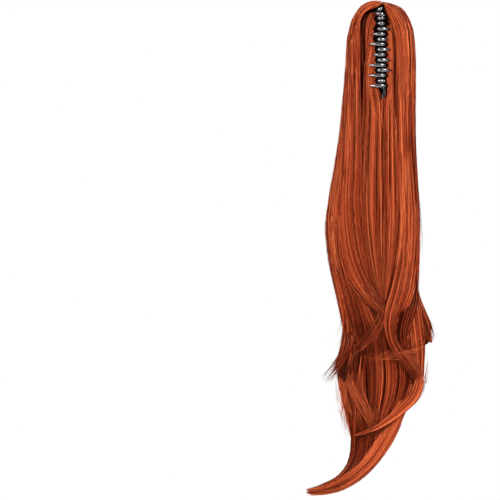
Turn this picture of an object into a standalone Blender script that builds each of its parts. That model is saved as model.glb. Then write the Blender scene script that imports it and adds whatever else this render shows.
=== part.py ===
"""Ponytail hairpiece on a claw clip, in metres, +Z up.

The hair hangs along -Z. The wearer's side, where the clip opens, faces -Y. The origin is
the middle of the space that the two jaws grip. The clip's hinge stands upright behind it.
"""

import math

import bmesh
import bpy
from mathutils import Matrix, Vector

# Claw clip
TEETH_PER_JAW = 8
TOOTH_ROW = 0.092  # top tooth to bottom tooth, over both jaws
TOOTH_RADIUS = 0.0020  # at the bend, where a tooth is thickest
JAW_DEPTH = 0.026  # hinge axis to the bend of the teeth
JAW_HALF_WIDTH = 0.009  # centre line to the middle of the jaw's wall
JAW_WALL = 0.0016
HINGE_BACK = 0.015  # hinge axis behind the middle of the grip
PIN_RADIUS = 0.0015
PIN_CLEARANCE = 0.0002
KNUCKLE_WALL = 0.0013
KNUCKLE_HEIGHT = 0.008
LEVER_LENGTH = 0.018  # thumb lever, from the hinge axis
LEVER_ANGLE = math.radians(50)  # away from straight back, jaws closed
LEVER_HEIGHT = 0.026
SPRING_LENGTH = 0.024
SPRING_TURNS = 6
SPRING_WIRE = 0.0005  # wire radius
SPRING_CLEARANCE = 0.0004  # coil to pin
KNOT_LENGTH = 0.0125
KNOT_RADIUS = 0.0022

# Hair
FALL_LENGTH = 0.456  # under the clip's space, down to the tip of the tail
HAIR_WIDTH = 0.108  # widest place of the fall
CROWN_DEPTH = 0.058  # front to back at the clip
ROOF = 0.006  # hair over the clip's top tooth
KNOT_ROOM = 0.016  # under the clip's bottom tooth
SWING_ROOM = 0.0015  # open jaw to the hair round it
WEFT_WIDTH = 0.0104
WEFT_DEPTH = 0.013
WEFT_TOP = 0.030  # above the grip's middle
GAP = 0.0003  # between pieces that rest on each other

CROWN_LENGTH = TOOTH_ROW + ROOF + KNOT_ROOM
CROWN_TOP = TOOTH_ROW / 2 + ROOF
ROOM_FLOOR = CROWN_TOP - CROWN_LENGTH
HINGE = Vector((0, HINGE_BACK, 0))
BORE_RADIUS = PIN_RADIUS + PIN_CLEARANCE
KNUCKLE_RADIUS = BORE_RADIUS + KNUCKLE_WALL
RIDGE_SUNK = 1.5  # a ridge's middle under the surface, in ridge heights
SECTION_POWER = 2.4  # a hair section is a superellipse, a little fuller than an ellipse

# A jaw seen from above, from its wall to the bend of a tooth.
# outward: share of JAW_HALF_WIDTH. forward: from the hinge, share of JAW_DEPTH.
# thick: share of TOOTH_RADIUS. climb: share of the tooth's rise that is reached there.
JAW_PROFILE = (
    (0.78, 0.22, 0.75, 0.00),
    (1.00, 0.46, 0.85, 0.00),
    (0.85, 0.77, 0.95, 0.25),
    (0.25, 0.985, 1.00, 0.55),
)
TIP_FORWARD = 0.93
TIP_THICK = 0.28
MIDDLE_THICK = 0.92

# Teeth of each jaw, from the top down.
# reach: tip past the centre line, share of JAW_HALF_WIDTH. sink: the tooth's arm below its place,
# rise: its tip above the arm, shares of the pitch. spread: how much wider its arm stands.
TEETH = {
    "left": (
        (0.40, 0.28, 0.34, 1.15),
        (0.65, 0.00, 0.05, 1.00),
        (1.15, 0.00, 0.00, 1.00),
        (0.90, 0.00, -0.03, 1.00),
        (1.20, 0.00, 0.00, 1.00),
        (1.20, 0.00, -0.03, 1.00),
        (1.30, 0.00, 0.00, 1.00),
        (0.65, 0.00, -0.05, 1.00),
    ),
    "right": (
        (0.90, 0.35, 0.42, 1.10),
        (0.65, 0.00, 0.05, 1.00),
        (1.15, 0.00, 0.00, 1.00),
        (1.50, 0.00, 0.03, 1.00),
        (1.10, 0.00, 0.00, 1.00),
        (1.60, 0.00, -0.02, 1.00),
        (1.60, 0.00, 0.00, 1.00),
        (1.50, 0.00, 0.00, 1.00),
    ),
}

# Thumb lever and the wall that carries it, seen from above, before the lever itself.
# outward: share of JAW_HALF_WIDTH. forward: from the hinge, share of JAW_DEPTH.
LEVER_ROOT = ((0.96, 0.42), (0.80, 0.20), (0.62, 0.04))

# Knuckle middles, share of TOOTH_ROW above the grip's middle.
KNUCKLES = {"left": (0.36, -0.26), "right": (0.26, -0.36)}

# The tables below place the hair.
# down: 0 at the crown's top, 1 at the floor of the clip's space, 2 at the tail's tip.
# across and half_width: shares of HAIR_WIDTH. back and half_depth: shares of CROWN_DEPTH.

# Outer hair, level sections.
OUTER_BODY = (
    # down, across, back, half_width, half_depth
    (0.001, -0.053, 0.12, 0.030, 0.09),
    (0.015, -0.053, 0.13, 0.085, 0.21),
    (0.035, -0.027, 0.15, 0.154, 0.33),
    (0.055, -0.016, 0.17, 0.197, 0.41),
    (0.095, 0.000, 0.19, 0.245, 0.48),
    (0.20, 0.000, 0.20, 0.309, 0.505),
    (0.30, 0.005, 0.205, 0.335, 0.50),
    (0.40, 0.000, 0.21, 0.351, 0.50),
    (0.60, 0.000, 0.22, 0.362, 0.50),
    (0.80, -0.009, 0.225, 0.368, 0.49),
    (1.00, -0.018, 0.23, 0.377, 0.465),
    (1.10, -0.038, 0.235, 0.395, 0.43),
    (1.20, -0.062, 0.23, 0.440, 0.405),
    (1.26, -0.073, 0.225, 0.475, 0.39),
    (1.33, -0.088, 0.22, 0.495, 0.37),
    (1.43, -0.064, 0.21, 0.468, 0.345),
    (1.505, -0.032, 0.205, 0.426, 0.31),
    (1.555, -0.022, 0.20, 0.394, 0.275),
    (1.60, -0.030, 0.20, 0.350, 0.20),
    (1.63, -0.040, 0.20, 0.240, 0.10),
)

# Inner hair: a column that becomes the underside of the tail, sections across its path.
INNER_BODY = (
    # down, across, back, half_width, half_depth
    (1.000, -0.021, 0.150, 0.180, 0.300),
    (1.10, -0.021, 0.155, 0.176, 0.285),
    (1.25, -0.021, 0.165, 0.170, 0.270),
    (1.40, -0.010, 0.170, 0.160, 0.255),
    (1.53, 0.010, 0.155, 0.180, 0.235),
    (1.62, 0.043, 0.147, 0.213, 0.215),
    (1.70, 0.055, 0.145, 0.235, 0.200),
    (1.76, 0.045, 0.140, 0.235, 0.185),
    (1.82, -0.025, 0.135, 0.190, 0.165),
    (1.875, -0.110, 0.130, 0.155, 0.145),
    (1.915, -0.205, 0.130, 0.125, 0.125),
    (1.948, -0.330, 0.130, 0.085, 0.105),
    (1.970, -0.480, 0.130, 0.050, 0.080),
    (1.984, -0.640, 0.130, 0.022, 0.050),
    (1.989, -0.740, 0.130, 0.009, 0.020),
)

# Locks fused to the inner hair, sections across their paths.
INNER_LOCKS = {
    "tail": (
        (1.755, 0.224, 0.06, 0.040, 0.060),
        (1.796, 0.165, 0.045, 0.075, 0.085),
        (1.838, 0.075, 0.035, 0.092, 0.100),
        (1.878, -0.035, 0.035, 0.100, 0.100),
        (1.914, -0.160, 0.040, 0.102, 0.100),
        (1.946, -0.300, 0.050, 0.092, 0.095),
        (1.969, -0.450, 0.060, 0.076, 0.085),
        (1.984, -0.600, 0.075, 0.050, 0.070),
        (1.990, -0.720, 0.090, 0.028, 0.050),
        (1.990, -0.795, 0.100, 0.008, 0.020),
    ),
}

# Locks fused to the outer hair, sections across their paths.
OUTER_LOCKS = {
    "sweep_right": (
        (1.41, 0.345, 0.06, 0.035, 0.060),
        (1.46, 0.325, -0.01, 0.085, 0.090),
        (1.51, 0.275, -0.06, 0.115, 0.100),
        (1.555, 0.210, -0.09, 0.125, 0.100),
        (1.595, 0.180, -0.10, 0.115, 0.095),
        (1.63, 0.210, -0.09, 0.095, 0.090),
        (1.66, 0.280, -0.06, 0.075, 0.085),
        (1.69, 0.345, -0.03, 0.062, 0.080),
        (1.72, 0.370, -0.02, 0.055, 0.075),
        (1.748, 0.335, -0.04, 0.050, 0.070),
        (1.773, 0.250, -0.09, 0.045, 0.060),
        (1.80, 0.130, -0.12, 0.038, 0.050),
        (1.824, 0.000, -0.12, 0.030, 0.045),
        (1.840, -0.130, -0.09, 0.018, 0.035),
        (1.846, -0.270, -0.04, 0.006, 0.015),
    ),
    "flick_right": (
        (1.42, 0.280, 0.18, 0.040, 0.100),
        (1.47, 0.315, 0.20, 0.070, 0.120),
        (1.51, 0.345, 0.22, 0.076, 0.125),
        (1.54, 0.380, 0.24, 0.080, 0.120),
        (1.57, 0.430, 0.27, 0.076, 0.100),
        (1.595, 0.490, 0.29, 0.055, 0.070),
        (1.612, 0.548, 0.31, 0.012, 0.020),
    ),
    "under_right": (
        (1.50, 0.300, 0.16, 0.060, 0.120),
        (1.56, 0.345, 0.15, 0.095, 0.125),
        (1.62, 0.370, 0.13, 0.100, 0.120),
        (1.67, 0.365, 0.11, 0.080, 0.100),
        (1.715, 0.355, 0.09, 0.055, 0.070),
        (1.75, 0.335, 0.07, 0.020, 0.030),
    ),
    "sweep_left": (
        (1.48, -0.310, 0.08, 0.090, 0.150),
        (1.56, -0.295, 0.06, 0.115, 0.150),
        (1.63, -0.305, 0.05, 0.140, 0.145),
        (1.69, -0.300, 0.04, 0.170, 0.130),
        (1.74, -0.270, 0.03, 0.150, 0.110),
        (1.785, -0.250, 0.01, 0.105, 0.090),
        (1.82, -0.220, -0.01, 0.070, 0.065),
        (1.86, -0.190, -0.01, 0.010, 0.020),
    ),
    "wisp_left": (
        (1.54, -0.300, 0.02, 0.050, 0.070),
        (1.59, -0.340, 0.03, 0.055, 0.075),
        (1.63, -0.390, 0.04, 0.050, 0.070),
        (1.66, -0.450, 0.06, 0.032, 0.050),
        (1.685, -0.520, 0.09, 0.008, 0.015),
    ),
    "edge_wisp_left": (
        (1.64, -0.380, 0.08, 0.050, 0.080),
        (1.70, -0.420, 0.09, 0.055, 0.080),
        (1.76, -0.375, 0.10, 0.050, 0.070),
        (1.82, -0.325, 0.11, 0.040, 0.060),
        (1.87, -0.295, 0.12, 0.025, 0.040),
        (1.90, -0.290, 0.13, 0.008, 0.015),
    ),
    "back_long": (
        (1.30, 0.12, 0.44, 0.130, 0.100),
        (1.40, 0.20, 0.50, 0.150, 0.120),
        (1.50, 0.20, 0.47, 0.150, 0.120),
        (1.60, 0.13, 0.43, 0.145, 0.115),
        (1.69, 0.03, 0.39, 0.120, 0.100),
        (1.76, -0.09, 0.36, 0.085, 0.080),
        (1.82, -0.21, 0.33, 0.045, 0.055),
        (1.86, -0.30, 0.31, 0.010, 0.020),
    ),
    "back_left": (
        (1.22, -0.20, 0.42, 0.110, 0.090),
        (1.32, -0.28, 0.49, 0.125, 0.110),
        (1.42, -0.28, 0.47, 0.125, 0.115),
        (1.52, -0.20, 0.44, 0.115, 0.110),
        (1.61, -0.19, 0.40, 0.095, 0.100),
        (1.69, -0.25, 0.37, 0.070, 0.080),
        (1.745, -0.33, 0.34, 0.035, 0.050),
        (1.77, -0.39, 0.33, 0.010, 0.020),
    ),
    "back_right": (
        (1.42, 0.26, 0.44, 0.090, 0.110),
        (1.52, 0.29, 0.42, 0.090, 0.110),
        (1.62, 0.27, 0.38, 0.085, 0.105),
        (1.71, 0.23, 0.34, 0.075, 0.090),
        (1.79, 0.14, 0.31, 0.055, 0.070),
        (1.85, 0.04, 0.28, 0.030, 0.045),
        (1.89, -0.04, 0.27, 0.008, 0.015),
    ),
}

# Ridges of hair on the outer body's own surface.
# around: share of a turn from the front, positive towards +X. half_width and height: shares of HAIR_WIDTH.
RIDGES = {
    "front_left": (
        # down, around, half_width, height
        (0.18, -0.145, 0.040, 0.006),
        (0.30, -0.145, 0.060, 0.018),
        (0.60, -0.145, 0.065, 0.022),
        (1.00, -0.145, 0.065, 0.022),
        (1.20, -0.145, 0.068, 0.022),
        (1.33, -0.130, 0.066, 0.022),
        (1.43, -0.100, 0.060, 0.022),
        (1.50, -0.062, 0.048, 0.020),
        (1.535, -0.020, 0.030, 0.012),
    ),
    "edge_left": (
        (0.18, -0.20, 0.040, 0.006),
        (0.40, -0.20, 0.060, 0.016),
        (1.00, -0.20, 0.065, 0.018),
        (1.25, -0.20, 0.075, 0.020),
        (1.40, -0.19, 0.075, 0.020),
        (1.50, -0.17, 0.060, 0.016),
        (1.58, -0.15, 0.040, 0.010),
    ),
    "front_right": (
        (0.18, 0.125, 0.040, 0.006),
        (0.30, 0.125, 0.065, 0.018),
        (0.60, 0.125, 0.072, 0.022),
        (1.00, 0.125, 0.068, 0.022),
        (1.20, 0.135, 0.066, 0.022),
        (1.33, 0.125, 0.066, 0.022),
        (1.43, 0.100, 0.060, 0.022),
        (1.50, 0.060, 0.048, 0.020),
        (1.535, 0.020, 0.030, 0.012),
    ),
    "edge_right": (
        (0.18, 0.20, 0.040, 0.006),
        (0.40, 0.195, 0.060, 0.016),
        (1.00, 0.195, 0.065, 0.018),
        (1.25, 0.195, 0.070, 0.020),
        (1.40, 0.185, 0.070, 0.020),
        (1.48, 0.170, 0.050, 0.012),
    ),
}

# The open front of the outer hair: its two edges close to a point where the side locks meet.
SLOT = (
    # down, left edge, right edge (shares of HAIR_WIDTH from the centre line)
    (0.055, -0.03, 0.05),
    (0.072, -0.10, 0.075),
    (0.10, -0.155, 0.10),
    (0.15, -0.20, 0.125),
    (0.22, -0.225, 0.145),
    (0.60, -0.225, 0.155),
    (1.00, -0.215, 0.150),
    (1.25, -0.200, 0.160),
    (1.36, -0.170, 0.145),
    (1.44, -0.110, 0.090),
    (1.50, -0.040, 0.035),
    (1.53, -0.005, 0.010),
)

# The clip's space in the crown.
# down; half_width, front and back: shares of the room that an open jaw needs.
ROOM = (
    (0.0, 0.40, 0.82, 0.20),
    (0.013, 0.555, 0.97, 0.35),
    (0.03, 0.68, 1.00, 0.40),
    (0.06, 0.78, 1.01, 0.50),
    (0.14, 0.84, 1.00, 0.70),
    (0.20, 1.00, 1.00, 0.90),
    (0.26, 1.00, 1.00, 1.00),
    (1.0, 1.00, 1.00, 1.00),
)


def new_collection(name):
    found = bpy.data.collections.new(name)
    bpy.context.scene.collection.children.link(found)
    return found


def material(name, colour, roughness, metallic=0.0):
    made = bpy.data.materials.new(name)
    made.use_nodes = True
    shader = made.node_tree.nodes["Principled BSDF"]
    shader.inputs["Base Color"].default_value = (*colour, 1)
    shader.inputs["Roughness"].default_value = roughness
    shader.inputs["Metallic"].default_value = metallic
    return made


def add_object(name, mesh, finish, smooth=True):
    piece = bpy.data.objects.new(name, mesh)
    PARTS.objects.link(piece)
    mesh.materials.clear()
    mesh.materials.append(finish)
    if smooth:
        mesh.shade_smooth()
    return piece


def as_tool(piece):
    """Move an object to the cutters, out of the render."""
    for owner in list(piece.users_collection):
        owner.objects.unlink(piece)
    CUTTERS.objects.link(piece)
    piece.hide_render = True
    piece.display_type = "WIRE"
    return piece


def combine(target, tool, operation):
    step = target.modifiers.new(f"{operation.lower()} {tool.name}", "BOOLEAN")
    step.operation = operation
    step.solver = "EXACT"
    step.object = as_tool(tool)


def spline_between(rows, share):
    """Catmull-Rom value of the rows at share, 0 to 1 over the whole table."""
    place = share * (len(rows) - 1)
    i = min(int(place), len(rows) - 2)
    t = place - i
    before = rows[max(i - 1, 0)]
    after = rows[min(i + 2, len(rows) - 1)]
    values = []
    for p0, p1, p2, p3 in zip(before, rows[i], rows[i + 1], after):
        bend = 2 * p0 - 5 * p1 + 4 * p2 - p3
        turn = 3 * p1 - p0 - 3 * p2 + p3
        values.append(0.5 * (2 * p1 + (p2 - p0) * t + bend * t * t + turn * t**3))
    return values


def refined(rows, steps):
    count = (len(rows) - 1) * steps
    return [spline_between(rows, i / count) for i in range(count + 1)]


def height_at(down):
    if down < 1:
        return CROWN_TOP - CROWN_LENGTH * down
    return ROOM_FLOOR - FALL_LENGTH * (down - 1)


def place(down, across, back):
    return Vector((across * HAIR_WIDTH, back * CROWN_DEPTH, height_at(down)))


def section_shape(turn):
    """Unit superellipse at a share of a turn from the front: (side, depth)."""
    angle = 2 * math.pi * turn
    power = 2 / SECTION_POWER
    side = math.copysign(abs(math.sin(angle)) ** power, math.sin(angle))
    depth = -math.copysign(abs(math.cos(angle)) ** power, math.cos(angle))
    return side, depth


def close_mesh(bm, name, finish):
    """An object from a closed body; flat triangles keep the Booleans exact."""
    bmesh.ops.triangulate(bm, faces=bm.faces)
    bmesh.ops.recalc_face_normals(bm, faces=bm.faces)
    mesh = bpy.data.meshes.new(name)
    bm.to_mesh(mesh)
    bm.free()
    return add_object(name, mesh, finish)


def loft(name, sections, sides, finish):
    """Closed body through sections, each a centre and two half axes (side and depth)."""
    bm = bmesh.new()
    rings = []
    for centre, side_axis, depth_axis in sections:
        ring = []
        for k in range(sides):
            side, depth = section_shape(k / sides)
            ring.append(bm.verts.new(centre + side_axis * side + depth_axis * depth))
        rings.append(ring)
    for upper, lower in zip(rings, rings[1:]):
        for k in range(sides):
            after = (k + 1) % sides
            bm.faces.new((upper[k], upper[after], lower[after], lower[k]))
    bm.faces.new(rings[0])
    bm.faces.new(rings[-1])
    return close_mesh(bm, name, finish)


def level_sections(rows):
    """Level sections of the outer hair."""
    made = []
    for down, across, back, half_width, half_depth in rows:
        side_axis = Vector((half_width * HAIR_WIDTH, 0, 0))
        depth_axis = Vector((0, half_depth * CROWN_DEPTH, 0))
        made.append((place(down, across, back), side_axis, depth_axis))
    return made


def lock_sections(rows, grow=0.0):
    """Sections square to a lock's path, each made larger by grow."""
    centres = [place(*row[:3]) for row in rows]
    made = []
    for i, row in enumerate(rows):
        along = centres[min(i + 1, len(rows) - 1)] - centres[max(i - 1, 0)]
        along.normalize()
        side = Vector((-along.z, 0, along.x)).normalized()
        depth = side.cross(along)
        if depth.y < 0:
            depth.negate()
        centre = centres[i]
        if i == 0:
            centre = centre - along * grow
        if i == len(rows) - 1:
            centre = centre + along * grow
        half_width = row[3] * HAIR_WIDTH + grow
        half_depth = row[4] * CROWN_DEPTH + grow
        made.append((centre, side * half_width, depth * half_depth))
    return made


def skin_point(down, around):
    """A point of the outer body's surface."""
    rows = OUTER_BODY
    i = 0
    while i < len(rows) - 2 and rows[i + 1][0] < down:
        i += 1
    t = (down - rows[i][0]) / (rows[i + 1][0] - rows[i][0])
    _, across, back, half_width, half_depth = (a + (b - a) * t for a, b in zip(rows[i], rows[i + 1]))
    side, depth = section_shape(around)
    out = Vector((half_width * HAIR_WIDTH * side, half_depth * CROWN_DEPTH * depth, 0))
    return place(down, across, back) + out


def skin_normal(down, around):
    """The way out of the outer body's surface."""
    step = 0.01
    along = skin_point(down + step, around) - skin_point(down - step, around)
    across = skin_point(down, around + step) - skin_point(down, around - step)
    return across.cross(along).normalized() * -1


def ridge_sections(rows):
    """Sections of a ridge that lies along the outer body's surface."""
    found = [skin_point(row[0], row[1]) for row in rows]
    made = []
    for i, row in enumerate(rows):
        point = found[i]
        out = skin_normal(row[0], row[1])
        along = found[min(i + 1, len(rows) - 1)] - found[max(i - 1, 0)]
        along.normalize()
        side = along.cross(out).normalized()
        height = row[3] * HAIR_WIDTH
        # Its widest place is under the surface, so that two ridges close no hollow between them.
        centre = point - out * height * RIDGE_SUNK
        depth_axis = out * -height * (1 + RIDGE_SUNK)
        made.append((centre, side * row[2] * HAIR_WIDTH, depth_axis))
    return made


def weft_centre():
    return JAW_HALF_WIDTH + TOOTH_RADIUS * 0.95 + GAP + WEFT_WIDTH / 2


def weft_reach():
    """The furthest that a weft stands from the hinge axis."""
    outer = weft_centre() + WEFT_WIDTH / 2 * 0.75
    forward = HINGE_BACK + WEFT_DEPTH / 2 * 0.85
    return math.hypot(outer, forward)


def clip_room():
    """The space in the crown that the jaws swing in, open to the front."""
    side_reach = weft_reach() + SWING_ROOM
    front_reach = JAW_DEPTH + TOOTH_RADIUS + SWING_ROOM
    back_reach = LEVER_LENGTH + JAW_WALL + SWING_ROOM
    top = TOOTH_ROW / 2 + GAP
    sections = []
    for down, half_width, front, back in ROOM:
        front_side = HINGE_BACK - front_reach * front
        back_side = HINGE_BACK + back_reach * back
        height = top + (ROOM_FLOOR - top) * down
        side_axis = Vector((side_reach * half_width, 0, 0))
        depth_axis = Vector((0, (back_side - front_side) / 2, 0))
        sections.append((Vector((0, (front_side + back_side) / 2, height)), side_axis, depth_axis))
    return loft("clip_room", sections, 24, TOOL)


def front_slot():
    """The wedge that opens the outer hair at the front, down to where the locks meet."""
    front = -CROWN_DEPTH * 0.6
    back = HINGE_BACK * 0.5
    bm = bmesh.new()
    rings = []
    for down, left, right in SLOT:
        height = height_at(down)
        corners = ((left, front), (right, front), (right, back), (left, back))
        rings.append([bm.verts.new((x * HAIR_WIDTH, y, height)) for x, y in corners])
    for upper, lower in zip(rings, rings[1:]):
        for k in range(4):
            after = (k + 1) % 4
            bm.faces.new((upper[k], upper[after], lower[after], lower[k]))
    bm.faces.new(rings[0])
    bm.faces.new(rings[-1])
    return close_mesh(bm, "front_slot", TOOL)


def make_outer_fall():
    fall = loft("outer_fall", level_sections(OUTER_BODY), 28, HAIR)
    for name, rows in RIDGES.items():
        combine(fall, loft(f"{name}_ridge", ridge_sections(rows), 8, TOOL), "UNION")
    for name, rows in OUTER_LOCKS.items():
        shape = lock_sections(refined(rows, 2))
        combine(fall, loft(f"{name}_lock", shape, 8, TOOL), "UNION")
    combine(fall, front_slot(), "DIFFERENCE")
    combine(fall, clip_room(), "DIFFERENCE")
    inner = lock_sections(refined(INNER_BODY, 1), GAP)
    combine(fall, loft("inner_space", inner, 20, TOOL), "DIFFERENCE")
    for name, rows in INNER_LOCKS.items():
        shape = lock_sections(refined(rows, 2), GAP)
        combine(fall, loft(f"{name}_space", shape, 10, TOOL), "DIFFERENCE")
    return fall


def make_inner_fall():
    fall = loft("inner_fall", lock_sections(INNER_BODY), 20, HAIR_INNER)
    for name, rows in INNER_LOCKS.items():
        shape = lock_sections(refined(rows, 2))
        combine(fall, loft(f"{name}_lock", shape, 10, TOOL), "UNION")
    return fall


def make_weft(name, side):
    """Inner hair bound along the outside of one jaw; side is -1 left, 1 right."""
    bottom = ROOM_FLOOR + GAP
    rows = ((1.0, 0.35), (0.94, 0.75), (0.8, 1.0), (0.2, 1.0), (0.0, 0.9))
    sections = []
    for share, size in rows:
        height = bottom + (WEFT_TOP - bottom) * share
        inner_face = weft_centre() - WEFT_WIDTH / 2
        centre = Vector((side * (inner_face + WEFT_WIDTH / 2 * size), 0, height))
        side_axis = Vector((WEFT_WIDTH / 2 * size, 0, 0))
        depth_axis = Vector((0, WEFT_DEPTH / 2 * size, 0))
        sections.append((centre, side_axis, depth_axis))
    return loft(name, sections, 12, HAIR_INNER)


def jaw_point(outward, forward, side, height):
    x = side * outward * JAW_HALF_WIDTH
    return Vector((x, HINGE_BACK - forward * JAW_DEPTH, height))


def mesh_of_curve(curve_object, name):
    """The curve as a mesh with welded caps; the curve is removed."""
    view = bpy.context.evaluated_depsgraph_get()
    mesh = bpy.data.meshes.new_from_object(curve_object.evaluated_get(view))
    bm = bmesh.new()
    bm.from_mesh(mesh)
    bmesh.ops.remove_doubles(bm, verts=bm.verts, dist=0.00001)
    bmesh.ops.recalc_face_normals(bm, faces=bm.faces)
    bm.to_mesh(mesh)
    bm.free()
    mesh.name = name
    bpy.data.objects.remove(curve_object)
    return mesh


def rod(name, points, radii, sides_step, finish):
    """A round rod through points, with a radius at each."""
    curve = bpy.data.curves.new(name, "CURVE")
    curve.dimensions = "3D"
    curve.bevel_depth = 1.0
    curve.bevel_resolution = sides_step
    curve.use_fill_caps = True
    path = curve.splines.new("POLY")
    path.points.add(len(points) - 1)
    for target, point, radius in zip(path.points, points, radii):
        target.co = (*point, 1)
        target.radius = radius
    holder = bpy.data.objects.new(name, curve)
    PARTS.objects.link(holder)
    mesh = mesh_of_curve(holder, name)
    return add_object(name, mesh, finish)


def tooth_pitch():
    """Between two teeth of one jaw."""
    return TOOTH_ROW / (TEETH_PER_JAW - 0.25)


def tooth_heights(side_name):
    """Heights of one jaw's teeth: the two jaws take turns down the row."""
    pitch = tooth_pitch()
    first = TOOTH_ROW / 2 - pitch * (0.25 if side_name == "left" else 0.75)
    rows = TEETH[side_name]
    return [first - pitch * (i + row[1]) for i, row in enumerate(rows)]


def make_tooth(name, side, height, row):
    reach, _, rise, spread = row
    points = []
    radii = []
    top = rise * tooth_pitch()
    for outward, forward, thick, climb in JAW_PROFILE:
        wide = outward * (spread if forward > 0.3 and outward > 0.5 else 1)
        points.append(jaw_point(wide, forward, side, height + climb * top))
        radii.append(thick * TOOTH_RADIUS)
    tip = jaw_point(-reach, TIP_FORWARD, side, height + top)
    middle = points[-1].lerp(tip, 0.5)
    middle.y = HINGE_BACK - JAW_DEPTH
    points += [middle, tip]
    radii += [TOOTH_RADIUS * MIDDLE_THICK, TOOTH_RADIUS * TIP_THICK]
    rows = [(*point, radius) for point, radius in zip(points, radii)]
    smooth = refined(rows, 2)
    path = [Vector(row[:3]) for row in smooth]
    return rod(name, path, [row[3] for row in smooth], 1, TOOL)


def strap(name, plan, low, high, thickness):
    """An upright strip that follows plan points, thickened."""
    bm = bmesh.new()
    pairs = []
    for x, y in plan:
        pairs.append((bm.verts.new((x, y, low)), bm.verts.new((x, y, high))))
    for a, b in zip(pairs, pairs[1:]):
        bm.faces.new((a[0], b[0], b[1], a[1]))
    mesh = bpy.data.meshes.new(name)
    bm.to_mesh(mesh)
    bm.free()
    piece = add_object(name, mesh, TOOL, smooth=False)
    step = piece.modifiers.new("thickness", "SOLIDIFY")
    step.thickness = thickness
    step.offset = 0
    return piece


def cylinder(name, radius, low, high, finish, sides=16):
    mesh = bpy.data.meshes.new(name)
    bm = bmesh.new()
    bmesh.ops.create_cone(
        bm, cap_ends=True, segments=sides, radius1=radius, radius2=radius, depth=high - low
    )
    middle = Vector((HINGE.x, HINGE.y, (low + high) / 2))
    bmesh.ops.translate(bm, verts=bm.verts, vec=middle)
    bm.to_mesh(mesh)
    bm.free()
    piece = add_object(name, mesh, finish)
    mesh.set_sharp_from_angle(angle=math.radians(40))
    return piece


def lever_plan(side):
    points = [jaw_point(outward, forward, side, 0).xy for outward, forward in LEVER_ROOT]
    for share in (0.5, 1.0):
        out = LEVER_LENGTH * share
        x = side * out * math.sin(LEVER_ANGLE)
        points.append(Vector((x, HINGE_BACK + out * math.cos(LEVER_ANGLE))))
    return points


def make_jaw(name, side_name, side):
    heights = tooth_heights(side_name)
    wall_plan = [jaw_point(row[0], row[1], side, 0).xy for row in JAW_PROFILE[:3]]
    wall_plan[-1] = wall_plan[1].lerp(wall_plan[2], 0.45)
    low = heights[-1] - TOOTH_RADIUS * 0.6
    high = heights[0] + TOOTH_RADIUS * 0.6
    jaw = strap(name, wall_plan, low, high, JAW_WALL)
    jaw.data.materials[0] = METAL
    for i, (height, row) in enumerate(zip(heights, TEETH[side_name])):
        tooth = make_tooth(f"{name}_tooth_{i}", side, height, row)
        combine(jaw, tooth, "UNION")
    lever_low = -LEVER_HEIGHT / 2
    lever = strap(f"{name}_lever", lever_plan(side), lever_low, -lever_low, JAW_WALL)
    combine(jaw, lever, "UNION")
    bore = cylinder(f"{name}_bore", BORE_RADIUS, low * 2, high * 2, TOOL)
    for i, share in enumerate(KNUCKLES[side_name]):
        middle = share * TOOTH_ROW
        bottom = middle - KNUCKLE_HEIGHT / 2
        top = middle + KNUCKLE_HEIGHT / 2
        knuckle = cylinder(f"{name}_knuckle_{i}", KNUCKLE_RADIUS, bottom, top, TOOL)
        combine(jaw, knuckle, "UNION")
        start = jaw_point(0.12, 0.0, side, 0).xy
        web_plan = [start, jaw_point(0.5, 0.1, side, 0).xy, jaw_point(0.85, 0.26, side, 0).xy]
        inset = KNUCKLE_HEIGHT * 0.1
        web = strap(f"{name}_web_{i}", web_plan, bottom + inset, top - inset, JAW_WALL * 1.1)
        combine(jaw, web, "UNION")
    combine(jaw, bore, "DIFFERENCE")
    return jaw


def make_pin():
    """The pin reaches from under the jaws to the crown's roof."""
    low = -TOOTH_ROW / 2 - KNUCKLE_HEIGHT / 2
    high = TOOTH_ROW / 2
    return cylinder("hinge_pin", PIN_RADIUS, low, high, STEEL, sides=12)


def make_spring():
    coil = PIN_RADIUS + SPRING_CLEARANCE + SPRING_WIRE
    per_turn = 9
    count = SPRING_TURNS * per_turn + 1
    points = []
    for i in range(count):
        angle = 2 * math.pi * i / per_turn
        height = SPRING_LENGTH * (i / (count - 1) - 0.5)
        points.append(HINGE + Vector((coil * math.cos(angle), coil * math.sin(angle), height)))
    return rod("torsion_spring", points, [SPRING_WIRE] * count, 1, STEEL)


def make_knot():
    """The end of the binding thread, tied under the right jaw."""
    top = tooth_heights("right")[-1] - TOOTH_RADIUS - GAP
    x = JAW_HALF_WIDTH * 0.3
    y = HINGE_BACK - JAW_DEPTH * 0.96
    # down: share of KNOT_LENGTH. sway and size: shares of KNOT_RADIUS.
    rows = (
        (0.0, -0.2, 0.45),
        (0.2, 0.2, 0.40),
        (0.4, 0.5, 0.70),
        (0.6, 0.1, 1.00),
        (0.8, -0.5, 0.85),
        (1.0, -0.7, 0.25),
    )
    smooth = refined(rows, 2)
    points = [
        Vector((x + sway * KNOT_RADIUS, y, top - down * KNOT_LENGTH)) for down, sway, _ in smooth
    ]
    return rod("thread_knot", points, [row[2] * KNOT_RADIUS for row in smooth], 2, THREAD)


def hinge_empty(name):
    empty = bpy.data.objects.new(name, None)
    empty.empty_display_size = 0.01
    empty.location = HINGE
    PARTS.objects.link(empty)
    return empty


def carry(parent, pieces):
    for piece in pieces:
        piece.parent = parent
        piece.matrix_parent_inverse = Matrix.Translation(-parent.location)


for old in list(bpy.data.objects):
    bpy.data.objects.remove(old)

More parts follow.
